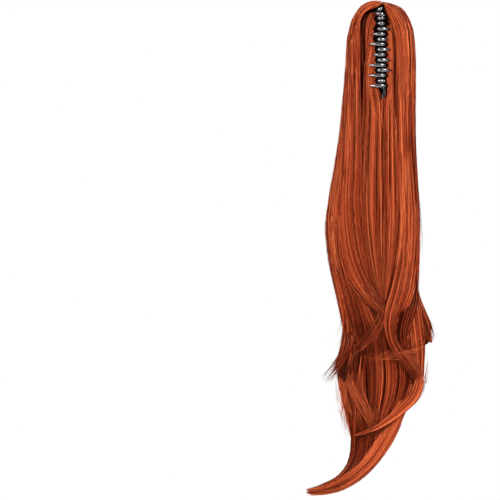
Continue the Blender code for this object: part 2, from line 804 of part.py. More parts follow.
PARTS = new_collection("ponytail hairpiece")
CUTTERS = new_collection("cutters")
HAIR = material("copper hair", (0.42, 0.10, 0.03), 0.38)
HAIR_INNER = material("copper hair inside", (0.33, 0.075, 0.025), 0.42)
METAL = material("gunmetal jaw", (0.10, 0.10, 0.11), 0.25, 0.9)
STEEL = material("spring steel", (0.35, 0.35, 0.36), 0.3, 1.0)
THREAD = material("binding thread", (0.03, 0.03, 0.03), 0.7)
TOOL = material("tool", (0.5, 0.5, 0.5), 0.5)

make_outer_fall()
make_inner_fall()
left_hinge = hinge_empty("left_hinge")
right_hinge = hinge_empty("right_hinge")
left_jaw = make_jaw("jaw_left", "left", -1)
right_jaw = make_jaw("jaw_right", "right", 1)
carry(left_hinge, [left_jaw, make_weft("weft_left", -1)])
carry(right_hinge, [right_jaw, make_weft("weft_right", 1), make_knot()])
make_pin()
make_spring()
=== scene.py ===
import math
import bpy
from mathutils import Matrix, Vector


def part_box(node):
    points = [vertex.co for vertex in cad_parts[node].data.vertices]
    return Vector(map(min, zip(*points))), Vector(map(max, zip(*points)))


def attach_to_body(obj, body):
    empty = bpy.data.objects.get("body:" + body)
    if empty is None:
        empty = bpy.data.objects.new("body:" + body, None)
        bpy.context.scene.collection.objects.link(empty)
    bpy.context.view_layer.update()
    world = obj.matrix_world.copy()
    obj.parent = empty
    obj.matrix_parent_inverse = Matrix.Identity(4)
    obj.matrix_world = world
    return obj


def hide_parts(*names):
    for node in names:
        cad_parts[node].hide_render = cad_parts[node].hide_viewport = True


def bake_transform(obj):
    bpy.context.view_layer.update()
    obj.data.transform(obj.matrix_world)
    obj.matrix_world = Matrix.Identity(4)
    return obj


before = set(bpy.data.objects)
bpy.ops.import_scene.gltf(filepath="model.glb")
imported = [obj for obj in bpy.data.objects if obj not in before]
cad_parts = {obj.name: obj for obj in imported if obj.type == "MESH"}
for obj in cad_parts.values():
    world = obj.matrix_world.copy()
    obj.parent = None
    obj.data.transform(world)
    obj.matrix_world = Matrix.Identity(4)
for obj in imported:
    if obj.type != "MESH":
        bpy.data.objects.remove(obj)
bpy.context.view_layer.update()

from types import SimpleNamespace

import bpy
import numpy as np

chance = np.random.default_rng(11)

# Sizes of the solids, in metres
HAIR_WIDTH = 0.108
CROWN_DEPTH = 0.058
CROWN_TOP = 0.052
CROWN_LENGTH = 0.114
FALL_LENGTH = 0.456
ROOM_FLOOR = CROWN_TOP - CROWN_LENGTH
SECTION_POWER = 2.4
HINGE_Y = 0.015

# The photograph's frame: metres a pixel, and the pixel of the object's origin
PIXEL = 0.00115
ORIGIN_PIXEL = (381.0, 46.0)
FRAME_PIXELS = 500
CAMERA_DISTANCE = 5.0
SENSOR = 36  # millimetres

# Stage
FLOOR = -0.60
FLOOR_RADIUS = 1.3
WORLD_LIGHT = 0.3  # the white world's strength as light; it is seen at 1
LIGHT_AIM = (0, 0, -0.2)
# name, place, width in metres, watts
LIGHTS = (
    ("key", (0.9, -1.9, 1.0), 0.6, 38),
    ("fill", (-1.5, -1.4, 0.3), 0.9, 22),
    ("rim", (0.6, 1.6, 1.2), 0.9, 16),
    ("side", (1.7, -0.25, 0.3), 0.7, 14),
)

# Clip
TOOTH_ROW = 0.092
TOOTH_RADIUS = 0.0020
TOOTH_COVER = 1.05  # the smooth tooth over the solid's faceted one
TOOTH_TALL = 1.14  # height of a tooth's section over its depth
TOOTH_SIDES = 14
JAW_DEPTH = 0.026
JAW_HALF_WIDTH = 0.009
TIP_FORWARD = 0.93
TIP_THICK = 0.28
MIDDLE_THICK = 0.92
# outward: share of JAW_HALF_WIDTH. forward: share of JAW_DEPTH. thick: share of TOOTH_RADIUS.
# climb: share of the tooth's rise that is reached there.
JAW_PROFILE = (
    (0.78, 0.22, 0.75, 0), (1, 0.46, 0.85, 0), (0.85, 0.77, 0.95, 0.25), (0.25, 0.985, 1, 0.55),
)
# reach, sink, rise, spread of each tooth, from the top down, as in the solids
TEETH = {
    "left": (
        (0.4, 0.28, 0.34, 1.15), (0.65, 0, 0.05, 1), (1.15, 0, 0, 1), (0.9, 0, -0.03, 1),
        (1.2, 0, 0, 1), (1.2, 0, -0.03, 1), (1.3, 0, 0, 1), (0.65, 0, -0.05, 1),
    ),
    "right": (
        (0.9, 0.35, 0.42, 1.1), (0.65, 0, 0.05, 1), (1.15, 0, 0, 1), (1.5, 0, 0.03, 1),
        (1.1, 0, 0, 1), (1.6, 0, -0.02, 1), (1.6, 0, 0, 1), (1.5, 0, 0, 1),
    ),
}
# Painted shade on the teeth: black towards each jaw's wall, where they lie in shadow; grey metal towards the
# tips
TOOTH_SHADE_FULL = 0.0052  # distance from the middle plane where a tooth's painted shade is full
# nearer the middle plane than this, a tooth has no painted shade
TOOTH_SHADE_NONE = 0.0028
TOOTH_SHADE_COLOUR = (0.012, 0.012, 0.013, 1)
TOOTH_METAL_STOPS = ((0.3, (0.15, 0.148, 0.152)), (0.7, (0.30, 0.298, 0.305)))

# End of the binding thread: sway as a share of its box's half width, size as a share of KNOT_PLY
KNOT = ((-0.2, 0.8), (0.3, 0.7), (0.5, 1.0), (0.1, 1.3), (-0.5, 1.1), (-0.6, 0.35))
KNOT_PLY = 0.00125
KNOT_TURNS = 2.2
KNOT_SIDES = 10

# Hair, in metres
STRAND = 0.00066  # width of a ribbon of hairs
LIFT = 0.0005  # strands lie up to about this far over or under the hair's surface
CORE_SINK = 0.0005  # a core lies this far under the hair's surface
TRESS_SINK = 0.0008  # the same of a tress
END_SINK = 0.0015  # further down at both ends of a tress
HUG = 0.0012  # the most that a tress stands in front of the body below it
HUG_BELOW = -0.300  # under this height a tress is free of the body
HUG_FADE = 0.050
ROOT_DEPTH = 0.003  # how far the root of a tress or lock lies under the hair round it
ROOT_SHARE = 0.16  # share of a lock that its root takes
TRESS_ROOT = 0.10  # the same of a tress
ROUND_BACK = 0.002  # how far the edges of a tress lie behind its middle
GROOVE = 0.0012  # depth of the partings between the outer body's locks
LOCK_GROOVE = 0.0009
TRESS_GROOVE = 0.0007
PARTING = 0.0025  # depth of a drawn parting
LIP_DEPTH = 0.020  # hair that turns inwards at the edges of the open front
LIP_BULGE = 0.0035
LOCK_FRAY = 0.006  # how far loose ends stray outwards
FRAY_OUT = 0.0012  # the same of a tress
FLYAWAY = 0.0022  # the same of single strands of the body

# Hair, in counts, shares and places down the body
WHORL = 0.0015  # share of the crown's length in which its top closes
BODY_END = 1.63
BODY_PARTS = 4
BODY_STRANDS = 1850
BODY_STEPS = 20
BODY_GIRTH = 46  # grooves' noise cells round the body
LOCK_GIRTH = 26
LIP_COLUMNS = 14
FRAY_ASIDE = 0.12  # loose ends of a tress, sideways as a share of its width
STRAND_TILT = 0.45  # radians that a ribbon leans from the surface
STRAND_TWIST = 0.5  # radians that this changes along it
STRAND_SIZES = (0.6, 1.15)  # shares of STRAND
TRESS_SIZES = (0.45, 1.0)
SWELL_FROM = 0.12
SWELL_TO = 1.52
SWELL_FADE = 0.2
LIP_FROM = 0.26
LIP_TO = 1.5

# Tints, 0 dark to 1 light, and how much single strands differ
BODY_TINT = 0.58
LOCK_TINT = 0.55
TRESS_TINT = 0.56
# The cores under the strands get a low tint: painted shade that shows between the strands
BODY_CORE_TINT = 0.16
LOCK_CORE_TINT = 0.18
TRESS_CORE_TINT = 0.12
LIP_TINT = 0.28  # added at the edges of the open front
BODY_MIX = 0.25
LOCK_MIX = 0.22
TRESS_MIX = 0.27

# Finish of the hair
HAIR_STOPS = (
    (0, (0.04, 0.0035, 0.001)), (0.25, (0.165, 0.014, 0.004)),
    (0.55, (0.43, 0.057, 0.017)), (1, (0.85, 0.195, 0.066)),
)
HAIR_SHEEN = (1.0, 0.5, 0.26, 1)
CHANGE = 0.46  # range of the changes of tint within a strand
CHANGES = (60, 46, 0)  # how fast they go over tint and along a strand

# The tables below place the hair as the solids do, in thousandths.
# down: 0 at the crown's top, 1 at the floor of the clip's space, 2 at the tail's tip.
# across and half_width: shares of HAIR_WIDTH. back and half_depth: shares of CROWN_DEPTH.
OUTER_BODY = (
    (1, -53, 120, 30, 90), (15, -53, 130, 85, 210), (35, -27, 150, 154, 330), (55, -16, 170, 197, 410),
    (95, 0, 190, 245, 480), (200, 0, 200, 309, 505), (300, 5, 205, 335, 500), (400, 0, 210, 351, 500),
    (600, 0, 220, 362, 500), (800, -9, 225, 368, 490), (1000, -18, 230, 377, 465),
    (1100, -38, 235, 395, 430), (1200, -62, 230, 440, 405), (1260, -73, 225, 475, 390),
    (1330, -88, 220, 495, 370), (1430, -64, 210, 468, 345), (1505, -32, 205, 426, 310),
    (1555, -22, 200, 394, 275), (1600, -30, 200, 350, 200), (1630, -40, 200, 240, 100),
)
INNER_BODY = (
    (982, -21, 150, 5, 8), (985, -21, 150, 120, 200), (1000, -21, 150, 180, 300), (1100, -21, 155, 176, 285),
    (1250, -21, 165, 170, 270), (1400, -10, 170, 160, 255), (1530, 10, 155, 180, 235),
    (1620, 43, 147, 213, 215), (1700, 55, 145, 235, 200), (1760, 45, 140, 235, 185),
    (1820, -25, 135, 190, 165), (1875, -110, 130, 155, 145), (1915, -205, 130, 125, 125),
    (1948, -330, 130, 85, 105), (1970, -480, 130, 50, 80), (1984, -640, 130, 22, 50),
    (1989, -740, 130, 9, 20),
)
LOCKS = {
    "tail": (
        (1755, 224, 60, 40, 60), (1796, 165, 45, 75, 85), (1838, 75, 35, 92, 100), (1878, -35, 35, 100, 100),
        (1914, -160, 40, 102, 100), (1946, -300, 50, 92, 95), (1969, -450, 60, 76, 85),
        (1984, -600, 75, 50, 70), (1990, -720, 90, 28, 50), (1990, -795, 100, 8, 20)),
    "sweep_right": (
        (1410, 345, 60, 35, 60), (1460, 325, -10, 85, 90), (1510, 275, -60, 115, 100),
        (1555, 210, -90, 125, 100), (1595, 180, -100, 115, 95), (1630, 210, -90, 95, 90),
        (1660, 280, -60, 75, 85), (1690, 345, -30, 62, 80), (1720, 370, -20, 55, 75),
        (1748, 335, -40, 50, 70), (1773, 250, -90, 45, 60), (1800, 130, -120, 38, 50),
        (1824, 0, -120, 30, 45), (1840, -130, -90, 18, 35), (1846, -270, -40, 6, 15)),
    "flick_right": (
        (1420, 280, 180, 40, 100), (1470, 315, 200, 70, 120), (1510, 345, 220, 76, 125),
        (1540, 380, 240, 80, 120), (1570, 430, 270, 76, 100), (1595, 490, 290, 55, 70),
        (1612, 548, 310, 12, 20)),
    "under_right": (
        (1500, 300, 160, 60, 120), (1560, 345, 150, 95, 125), (1620, 370, 130, 100, 120),
        (1670, 365, 110, 80, 100), (1715, 355, 90, 55, 70), (1750, 335, 70, 20, 30)),
    "sweep_left": (
        (1480, -310, 80, 90, 150), (1560, -295, 60, 115, 150), (1630, -305, 50, 140, 145),
        (1690, -300, 40, 170, 130), (1740, -270, 30, 150, 110), (1785, -250, 10, 105, 90),
        (1820, -220, -10, 70, 65), (1860, -190, -10, 10, 20)),
    "wisp_left": (
        (1540, -300, 20, 50, 70), (1590, -340, 30, 55, 75), (1630, -390, 40, 50, 70),
        (1660, -450, 60, 32, 50), (1685, -520, 90, 8, 15)),
    "edge_wisp_left": (
        (1640, -380, 80, 50, 80), (1700, -420, 90, 55, 80), (1760, -375, 100, 50, 70),
        (1820, -325, 110, 40, 60), (1870, -295, 120, 25, 40), (1900, -290, 130, 8, 15)),
    "back_long": (
        (1300, 120, 440, 130, 100), (1400, 200, 500, 150, 120), (1500, 200, 470, 150, 120),
        (1600, 130, 430, 145, 115), (1690, 30, 390, 120, 100), (1760, -90, 360, 85, 80),
        (1820, -210, 330, 45, 55), (1860, -300, 310, 10, 20)),
    "back_left": (
        (1220, -200, 420, 110, 90), (1320, -280, 490, 125, 110), (1420, -280, 470, 125, 115),
        (1520, -200, 440, 115, 110), (1610, -190, 400, 95, 100), (1690, -250, 370, 70, 80),
        (1745, -330, 340, 35, 50), (1770, -390, 330, 10, 20)),
    "back_right": (
        (1420, 260, 440, 90, 110), (1520, 290, 420, 90, 110), (1620, 270, 380, 85, 105),
        (1710, 230, 340, 75, 90), (1790, 140, 310, 55, 70), (1850, 40, 280, 30, 45), (1890, -40, 270, 8, 15)),
}

# How a lock looks. light: added to its tint, the lock's own tone with painted shade where it lies in shadow.
# spread: looseness of its ends. turns: where its strands lie round it. late: latest start of a strand,
# short and long: its shortest and longest end, as shares of the lock. slim: how far its core lies inside it.
# buried: depth of its core's root as a multiple of rooted, and the share of its length.
LOCK_LOOK = {
    "count": 360, "steps": 15, "light": 0.0, "late": 0.12, "short": 0.8, "long": 1, "spread": 0.3,
    "slim": CORE_SINK, "turns": (0, 1), "cored": True, "rooted": ROOT_DEPTH, "buried": (1, ROOT_SHARE),
}
LOOSE = {"spread": 1.0, "short": 0.5}
BACK = {"late": 0.4, "buried": (2.4, 0.52)}
LOCK_CHANGES = {
    "tail": {"count": 500},
    "sweep_right": {"count": 350, "light": -0.36, "late": 0.3},
    "sweep_left": {"count": 320, "light": 0.05, "slim": 0.0055, **LOOSE},
    "wisp_left": {"count": 220, "light": -0.25, "slim": 0.002, "cored": False, **LOOSE},
    "edge_wisp_left": {"count": 110, "slim": 0.003, "cored": False, **LOOSE},
    "back_long": {"count": 800, **BACK},
    "back_left": BACK,
    "back_right": BACK,
}

# Swellings of the outer body: middle and half width in turns from the front, height in metres
SWELLS = (
    (-0.145, 0.035, 0.0022), (-0.205, 0.035, 0.0018), (0.125, 0.035, 0.0022), (0.195, 0.035, 0.0018),
)

# The open front of the outer hair, in thousandths: down, left edge and right edge
SLOT = (
    (30, 10, 12), (55, -30, 50), (72, -100, 75), (100, -155, 100), (150, -200, 125), (220, -225, 145),
    (600, -225, 155), (1000, -215, 150), (1250, -200, 160), (1360, -170, 145), (1440, -110, 90),
    (1500, -40, 35), (1530, -5, 10), (1640, -5, 5),
)

# Tresses of the front, in the order of their making: columns, changes to TRESS_LOOK and edges.
# locks: grooves' noise cells over the width. light: added to the tint, fade: more of it towards the
# end; both give the tress's own tone with painted shade where it lies in shadow and painted light where lit.
# fray and wander: looseness of the ends and of all the strands. thin: share of a strand's width.
TRESS_COLUMNS = (
    "name", "count", "steps", "locks", "light", "fade", "fray", "wander", "thin", "late", "short",
)
# What most tresses share. bodies: one it moves with, or two, and then it stays put. backed: it has a core.
# rim: taken off the tint at its edges, painted shade where they roll back.
# slope: added to it from left to right, painted light on one side and painted shade on the other.
# partings: each a share of the width, where it begins and ends, and its half width.
# Along a parting the hair sinks and its tint is darkened: painted shade.
TRESS_LOOK = {
    "bodies": "hair", "node": "outer_fall", "backed": True, "partings": (), "rim": 0.12, "slope": 0,
    "long": 1,
}
BARE = {"backed": False}
TAIL = {"node": "inner_fall"}
LEFT = {"bodies": "left_jaw", "node": "weft_left"}
RIGHT_BEND = {"bodies": ("right_jaw", "hair"), "node": "weft_right"}
# Edges from root to end, in tenths of a millimetre: left_x, left_z, right_x, right_z as seen from
# the front, and depth. A row of four has both edges at one height: left_x, right_x, z, depth.
TRESSES = (
    ("panel", 1100, 18, 6, -0.24, 0, 1, 0.012, 0.8, 0.1, 0.85, {
        **TAIL, "partings": ((0.05, 0.3, 0.95, 0.03), (0.45, 0.2, 0.8, 0.02), (0.75, 0.3, 0.7, 0.02)),
    }, (
        (-218, 264, -2829, -50), (-218, 264, -3151, -50), (-207, 299, -3496, -50), (-201, 333, -3680, -50),
        (-195, 333, -3864, -50), (-190, -4048, 287, -4036, -45), (-195, -4209, 218, -4186, -42),
        (-218, -4393, 126, -4347, -40), (-264, -4554, 34, -4508, -30))),
    ("left_outer", 900, 18, 6, 0, -0.42, 1, 0.05, 1, 0.1, 0.85, {"rim": 0, "slope": -0.2}, (
        (-460, -356, -908, -95), (-506, -379, -1253, -95), (-569, -402, -1656, -95),
        (-609, -402, -2058, -90), (-604, -333, -2415, -85), (-540, -2714, -218, -2748, -80),
        (-494, -2955, -80, -3036, -75), (-460, -3174, 11, -3266, -70), (-448, -3381, 58, -3473, -65),
        (-448, -3519, 80, -3634, -60))),
    ("flick", 420, 14, 4, -0.02, -0.48, 0.8, 0.05, 1, 0.1, 0.7, {}, (
        (241, -2714, 408, -2702, -25), (276, -2898, 448, -2875, -15), (310, -3070, 512, -3036, 0),
        (345, -3243, 581, -3197, 20), (425, -3496, 632, -3369, 40))),
    ("right_under", 420, 16, 4, -0.06, 0, 1, 0.05, 1, 0.1, 0.85, {}, (
        (264, 437, -2875, -40), (287, 471, -3174, -45), (322, 500, -3438, -45),
        (356, -3680, 494, -3657, -45), (310, -3910, 483, -3864, -50), (253, -4036, 414, -4048, -50),
        (172, -4151, 264, -4174, -50))),
    ("left_lower", 260, 14, 4, -0.08, 0, 2, 0.15, 0.7, 0.3, 0.4, BARE, (
        (-437, -172, -3519, -60), (-437, -3703, -184, -3726, -63), (-420, -3875, -184, -3898, -63),
        (-368, -4036, -172, -4059, -60), (-339, -4186, -161, -4209, -55), (-316, -161, -4370, -45))),
    ("left_tuft", 360, 12, 3, -0.48, -0.1, 2.5, 0.12, 0.7, 0.1, 0.4, {}, (
        (-460, -3381, -241, -3404, -80), (-466, -3519, -230, -3553, -85), (-494, -3634, -241, -3680, -85),
        (-506, -3749, -264, -3806, -80), (-494, -3852, -287, -3921, -75))),
    ("left_diagonal", 150, 14, 4, 0, 0, 2, 0.3, 0.6, 0.3, 0.5, BARE, (
        (-460, -3680, -322, -3611, -70), (-425, -3852, -264, -3795, -76), (-356, -4013, -207, -3967, -80),
        (-276, -4163, -138, -4117, -80), (-195, -4289, -92, -4243, -75), (-138, -4404, -58, -4370, -65))),
    ("left_wisp", 150, 12, 2, -0.42, 0, 2, 0.2, 0.6, 0.1, 0.35, BARE, (
        (-414, -3289, -287, -3312, -90), (-448, -3438, -322, -3496, -95), (-506, -3576, -402, -3645, -90),
        (-598, -3714, -517, -3795, -75), (-690, -3841, -632, -3898, -50))),
    ("left_edge", 80, 14, 2, -0.02, 0, 2.5, 0.4, 0.5, 0.4, 0.4, BARE, (
        (-448, -3588, -310, -3565, -60), (-494, -333, -3795, -55), (-506, -322, -3979, -50),
        (-477, -310, -4151, -40), (-443, -310, -4312, -35), (-414, -299, -4508, -30))),
    ("left_sweep", 1100, 24, 6, -0.01, -0.26, 1, 0.05, 1, 0.3, 0.85, {}, (
        (-391, 11, -259, 23, -125), (-408, -391, -259, -368, -125), (-443, -793, -255, -759, -125),
        (-494, -1173, -247, -1127, -125), (-546, -1518, -244, -1472, -125), (-569, -1828, -253, -1771, -125),
        (-569, -2139, -230, -2058, -120), (-517, -2438, -195, -2323, -115), (-414, -2679, -138, -2553, -110),
        (-276, -2875, -69, -2737, -105), (-115, -3013, 11, -2898, -100), (34, -3116, 92, -3024, -90),
        (161, -3220, 184, -3139, -75))),
    ("cross_left", 60, 14, 2, -0.1, 0, 1.5, 0.25, 0.45, 0.1, 0.4, BARE, (
        (0, -2955, 80, -2990, -123), (-58, -3128, 46, -3174, -122), (-149, -3278, -34, -3346, -115),
        (-264, -3392, -149, -3484, -105), (-379, -3473, -276, -3588, -95), (-471, -3530, -391, -3657, -85))),
    ("right_front", 1100, 24, 7, -0.07, -0.3, 1.3, 0.05, 1, 0.3, 0.85, {
        "rim": 0, "slope": 0.25, "partings": ((0.85, 0.58, 0.85, 0.15),),
    }, (
        (190, 351, -23, -125), (190, 374, -448, -125), (184, 385, -908, -125), (184, 391, -1368, -125),
        (195, 414, -1771, -125), (207, -2093, 431, -2116, -125), (184, -2369, 425, -2403, -125),
        (138, -2599, 414, -2633, -125), (92, -2806, 379, -2829, -125), (46, -2978, 310, -3001, -120),
        (23, -3139, 241, -3162, -120), (46, -3323, 218, -3335, -120), (103, -3496, 287, -3484, -120),
        (207, -3634, 391, -3622, -115), (316, -3737, 460, -3772, -110), (368, -3852, 494, -3910, -100))),
    ("right_cross", 45, 22, 2, 0.06, 0, 1.5, 0.4, 0.35, 0.1, 0.4, BARE, (
        (506, -3346, 506, -3473, -105), (391, -3427, 402, -3530, -125), (241, -3484, 253, -3588, -132),
        (80, -3508, 80, -3622, -132), (-69, -3530, -80, -3634, -127), (-218, -3519, -230, -3634, -115))),
    ("sweep_end", 380, 18, 3, 0, 0, 1, 0.05, 1, 0.1, 0.85, {}, (
        (368, -3749, 483, -3772, -110), (385, -3852, 489, -3898, -110), (339, -3990, 437, -4054, -110),
        (230, -4123, 305, -4186, -115), (86, -4243, 144, -4307, -120), (-46, -4347, -6, -4393, -120),
        (-172, -4416, -144, -4448, -110), (-310, -4464, -299, -4483, -90))),
    ("tail_under", 420, 16, 3, -0.42, 0, 1, 0.05, 1, 0.1, 0.85, TAIL, (
        (-322, -4117, -80, -4163, -40), (-333, -4255, -80, -4289, -40), (-339, -4393, -80, -4427, -40),
        (-345, -4554, -80, -4588, -38), (-356, -4692, -138, -4738, -34), (-402, -4830, -241, -4876, -30),
        (-506, -4951, -356, -4991, -20), (-644, -5031, -517, -5071, -10), (-805, -5094, -748, -5112, 5))),
    ("tail_light", 760, 18, 5, 0.05, 0, 1, 0.05, 1, 0.1, 0.85, TAIL, (
        (218, -4025, 345, -4048, -50), (115, -4197, 276, -4220, -55), (23, -4381, 195, -4404, -55),
        (-69, -4554, 103, -4565, -55), (-184, -4715, -11, -4749, -50), (-322, -4853, -161, -4910, -45),
        (-494, -4968, -345, -5048, -35), (-690, -5057, -563, -5120, -20), (-868, -5101, -857, -5115, 0))),
    ("stray_right", 24, 22, 1, -0.1, 0, 1, 0.4, 0.3, 0.5, 0.5, BARE, (
        (379, 414, -1426, -30), (414, 443, -1713, -30), (431, -2001, 466, -1978, -30),
        (431, -2288, 483, -2231, -30), (414, -2553, 483, -2484, -30))),
    ("lining_left", 260, 16, 2, -0.16, 0, 0.4, 0.03, 1, 0.1, 0.85, LEFT, (
        (-34, 420, -11, 385, -40), (-106, 397, -52, 310, -55), (-154, 345, -75, 207, -65),
        (-179, 241, -92, 115, -70), (-186, 92, -121, 11, -70), (-185, -34, -144, -92, -65),
        (-182, -207, -161, -230, -60))),
    ("crown_right", 330, 22, 5, 0, 0, 0.3, 0.03, 1, 0.1, 0.35, {}, (
        (18, 481, 41, 501, -100), (30, 460, 80, 483, -135), (41, 425, 149, 443, -153),
        (58, 374, 207, 385, -158), (85, 316, 253, 310, -158), (120, 241, 287, 218, -156),
        (145, 138, 310, 115, -156), (163, 316, 0, -152), (175, 322, -253, -150), (184, 322, -621, -150),
        (190, 322, -1196, -145))),
    ("weft_left", 700, 22, 4, -0.09, 0, 0.4, 0.05, 1, 0.1, 0.85, {
        "bodies": ("left_jaw", "hair"), "node": "weft_left", "rim": 0.04, "partings": (
            (0.57, 0.38, 0.55, 0.04), (0.35, 0.45, 0.75, 0.02),
            (0.7, 0.55, 0.9, 0.02), (0.93, 0.4, 0.72, 0.05),
        ),
    }, (
        (-109, 115, -69, 126, -70), (-129, -63, 0, -80), (-159, -55, -115, -85),
        (-191, -218, -48, -230, -86), (-198, -46, -345, -86), (-200, -460, -40, -448, -86),
        (-201, -563, -11, -540, -86), (-204, -690, 16, -644, -90), (-212, -908, 23, -874, -105),
        (-241, 29, -1196, -110), (-264, 31, -1598, -110), (-264, 31, -1943, -105), (-207, 31, -2346, -100),
        (-103, -2691, 31, -2714, -90), (-34, -2921, 34, -2955, -80))),
    ("weft_right", 560, 22, 3, -0.02, 0.12, 0.4, 0.05, 1, 0.1, 0.85, {
        **RIGHT_BEND, "rim": 0.04, "partings": ((0.85, 0.2, 0.6, 0.12), (0.35, 0.5, 0.8, 0.04)),
    }, (
        (69, 322, 161, 391, -50), (62, 241, 184, 276, -75), (61, 126, 195, 138, -84), (61, 195, -46, -86),
        (61, 195, -184, -86), (61, 195, -333, -86), (67, -448, 195, -437, -86), (69, -552, 195, -529, -86),
        (48, 195, -678, -95), (45, 195, -908, -105), (39, 207, -1196, -110), (37, 218, -1598, -110),
        (36, 230, -1943, -105), (36, 195, -2346, -100), (34, -2714, 115, -2748, -90),
        (34, -2921, 58, -2955, -80))),
    ("centre_fine", 70, 18, 2, -0.16, 0, 0.6, 0.15, 0.6, 0.6, 0.4, {**RIGHT_BEND, **BARE}, (
        (-6, -713, 75, -690, -98), (-11, 80, -966, -108), (-17, 86, -1311, -113), (-17, 86, -1771, -113),
        (-11, 80, -2346, -103), (0, 69, -2829, -90))),
    ("stray_left", 55, 12, 1, -0.05, 0, 1.5, 0.5, 0.36, 0.5, 0.4, BARE, (
        (-506, -425, -3703, -50), (-523, -414, -3910, -50), (-494, -379, -4117, -45),
        (-448, -339, -4312, -40), (-402, -322, -4531, -35))),
    ("stray_low", 55, 12, 1, -0.05, 0, 1.5, 0.5, 0.36, 0.5, 0.4, BARE, (
        (437, -3496, 517, -3484, -40), (448, 535, -3680, -35), (425, -3841, 523, -3852, -35),
        (345, -4025, 460, -4036, -35), (253, -4197, 356, -4220, -35))),
    ("lining_back", 160, 14, 2, -0.1, 0, 0.3, 0.05, 0.8, 0.1, 0.85, LEFT, (
        (-92, 402, -46, 356, 10), (-167, 362, -115, 299, 10), (-212, 276, -149, 207, 10),
        (-227, 115, -163, 92, 10), (-228, -69, -168, -80, 10), (-225, -230, -170, -241, 10),
        (-218, -172, -391, 10))),
)


NOISE_CELLS = 256
NOISE_GRID = chance.random((NOISE_CELLS, NOISE_CELLS))


def unit(vectors):
    length = np.linalg.norm(vectors, axis=-1, keepdims=True)
    return vectors / np.maximum(length, 1e-9)


def smooth_step(share):
    share = np.clip(share, 0, 1)
    return share * share * (3 - 2 * share)


def window(value, start, rise, end, fall):
    """1 between start and end, with slopes of the lengths rise and fall inside them."""
    return np.clip((value - start) / rise, 0, 1) * np.clip((end - value) / fall, 0, 1)


def evenly(count):
    """Even shares from 0 to 1."""
    return np.linspace(0, 1, count)


def scatter(count):
    """A normal number for each strand."""
    return chance.normal(0, 1, (count, 1))


def pick(limits, count):
    """An even number between two limits for each strand."""
    return chance.uniform(*limits, (count, 1))


def noise(x, y):
    """Smooth noise from -1 to 1."""
    x, y = np.broadcast_arrays(x, y)
    left = np.floor(x).astype(int)
    low = np.floor(y).astype(int)
    fx = smooth_step(x - left)
    fy = smooth_step(y - low)
    a, b, c, d = [
        NOISE_GRID[(left + i) % NOISE_CELLS, (low + j) % NOISE_CELLS]
        for i, j in ((0, 0), (1, 0), (0, 1), (1, 1))
    ]
    return ((a * (1 - fx) + b * fx) * (1 - fy) + (c * (1 - fx) + d * fx) * fy) * 2 - 1


def spline_rows(rows, shares):
    """Catmull-Rom values of a table at shares, 0 to 1 over the whole table."""
    rows = np.asarray(rows, float)
    place = np.clip(shares, 0, 1) * (len(rows) - 1)
    i = np.minimum(place.astype(int), len(rows) - 2)
    t = (place - i)[..., None]
    p0 = rows[np.maximum(i - 1, 0)]
    p1 = rows[i]
    p2 = rows[i + 1]
    p3 = rows[np.minimum(i + 2, len(rows) - 1)]
    bend = 2 * p0 - 5 * p1 + 4 * p2 - p3
    turn = 3 * p1 - p0 - 3 * p2 + p3
    return 0.5 * (2 * p1 + (p2 - p0) * t + bend * t * t + turn * t**3)


BODY_CURVE = spline_rows(np.array(OUTER_BODY) / 1000, evenly(600))
SLOT_CURVE = spline_rows(np.array(SLOT) / 1000, evenly(400))


def height_at(down):
    crown = CROWN_TOP - CROWN_LENGTH * down
    fall = ROOM_FLOOR - FALL_LENGTH * (down - 1)
    return np.where(down < 1, crown, fall)


def place(down, across, back):
    return np.stack((across * HAIR_WIDTH, back * CROWN_DEPTH, height_at(down)), axis=-1)


def section_shape(turn):
    """Unit superellipse at a share of a turn from the front: (side, depth)."""
    angle = 2 * math.pi * turn
    power = 2 / SECTION_POWER
    side = np.sign(np.sin(angle)) * np.abs(np.sin(angle)) ** power
    depth = -np.sign(np.cos(angle)) * np.abs(np.cos(angle)) ** power
    return side, depth


def body_at(down):
    """Across, back, half_width and half_depth of the outer body, closed at the crown."""
    across, back, half_width, half_depth = [
        np.interp(down, BODY_CURVE[:, 0], BODY_CURVE[:, k]) for k in range(1, 5)
    ]
    closing = np.clip(down / WHORL, 0.02, 1)
    return across, back, half_width * closing, half_depth * closing


def skin(down, around):
    """Points of the outer body, around from the front in turns."""
    across, back, half_width, half_depth = body_at(down)
    side, depth = section_shape(around)
    swell = np.zeros(np.broadcast(down, around).shape)
    fade = window(down, SWELL_FROM, SWELL_FADE, SWELL_TO, SWELL_FADE)
    turn = (around + 0.5) % 1 - 0.5
    for middle, half, height in SWELLS:
        share = np.clip(1 - ((turn - middle) / half) ** 2, 0, 1)
        swell = swell + height * share * fade
    x = across * HAIR_WIDTH + (half_width * HAIR_WIDTH + swell) * side
    y = back * CROWN_DEPTH + (half_depth * CROWN_DEPTH + swell) * depth
    return np.stack(np.broadcast_arrays(x, y, height_at(down)), axis=-1)


def skin_frame(down, around):
    """Point and way out of the outer body."""
    step = 0.004
    top = 0.001
    point = skin(down, around)
    along = skin(down + step, around) - skin(np.maximum(down - step, top), around)
    across = skin(down, around + step) - skin(down, around - step)
    return point, unit(-np.cross(across, along))


def slot_turn(down, column):
    """A slot edge as a share of a turn from the front."""
    x = np.interp(down, SLOT_CURVE[:, 0], SLOT_CURVE[:, column])
    across, _, half_width, _ = body_at(down)
    share = np.clip((x - across) / half_width, -0.98, 0.98)
    return np.sign(share) * np.arcsin(np.abs(share) ** (SECTION_POWER / 2)) / (2 * math.pi)


def around_at(share, down):
    """From the slot's right edge (0) round the back to its left edge (1)."""
    right = slot_turn(down, 2)
    left = slot_turn(down, 1)
    return right + share * (1 + left - right)


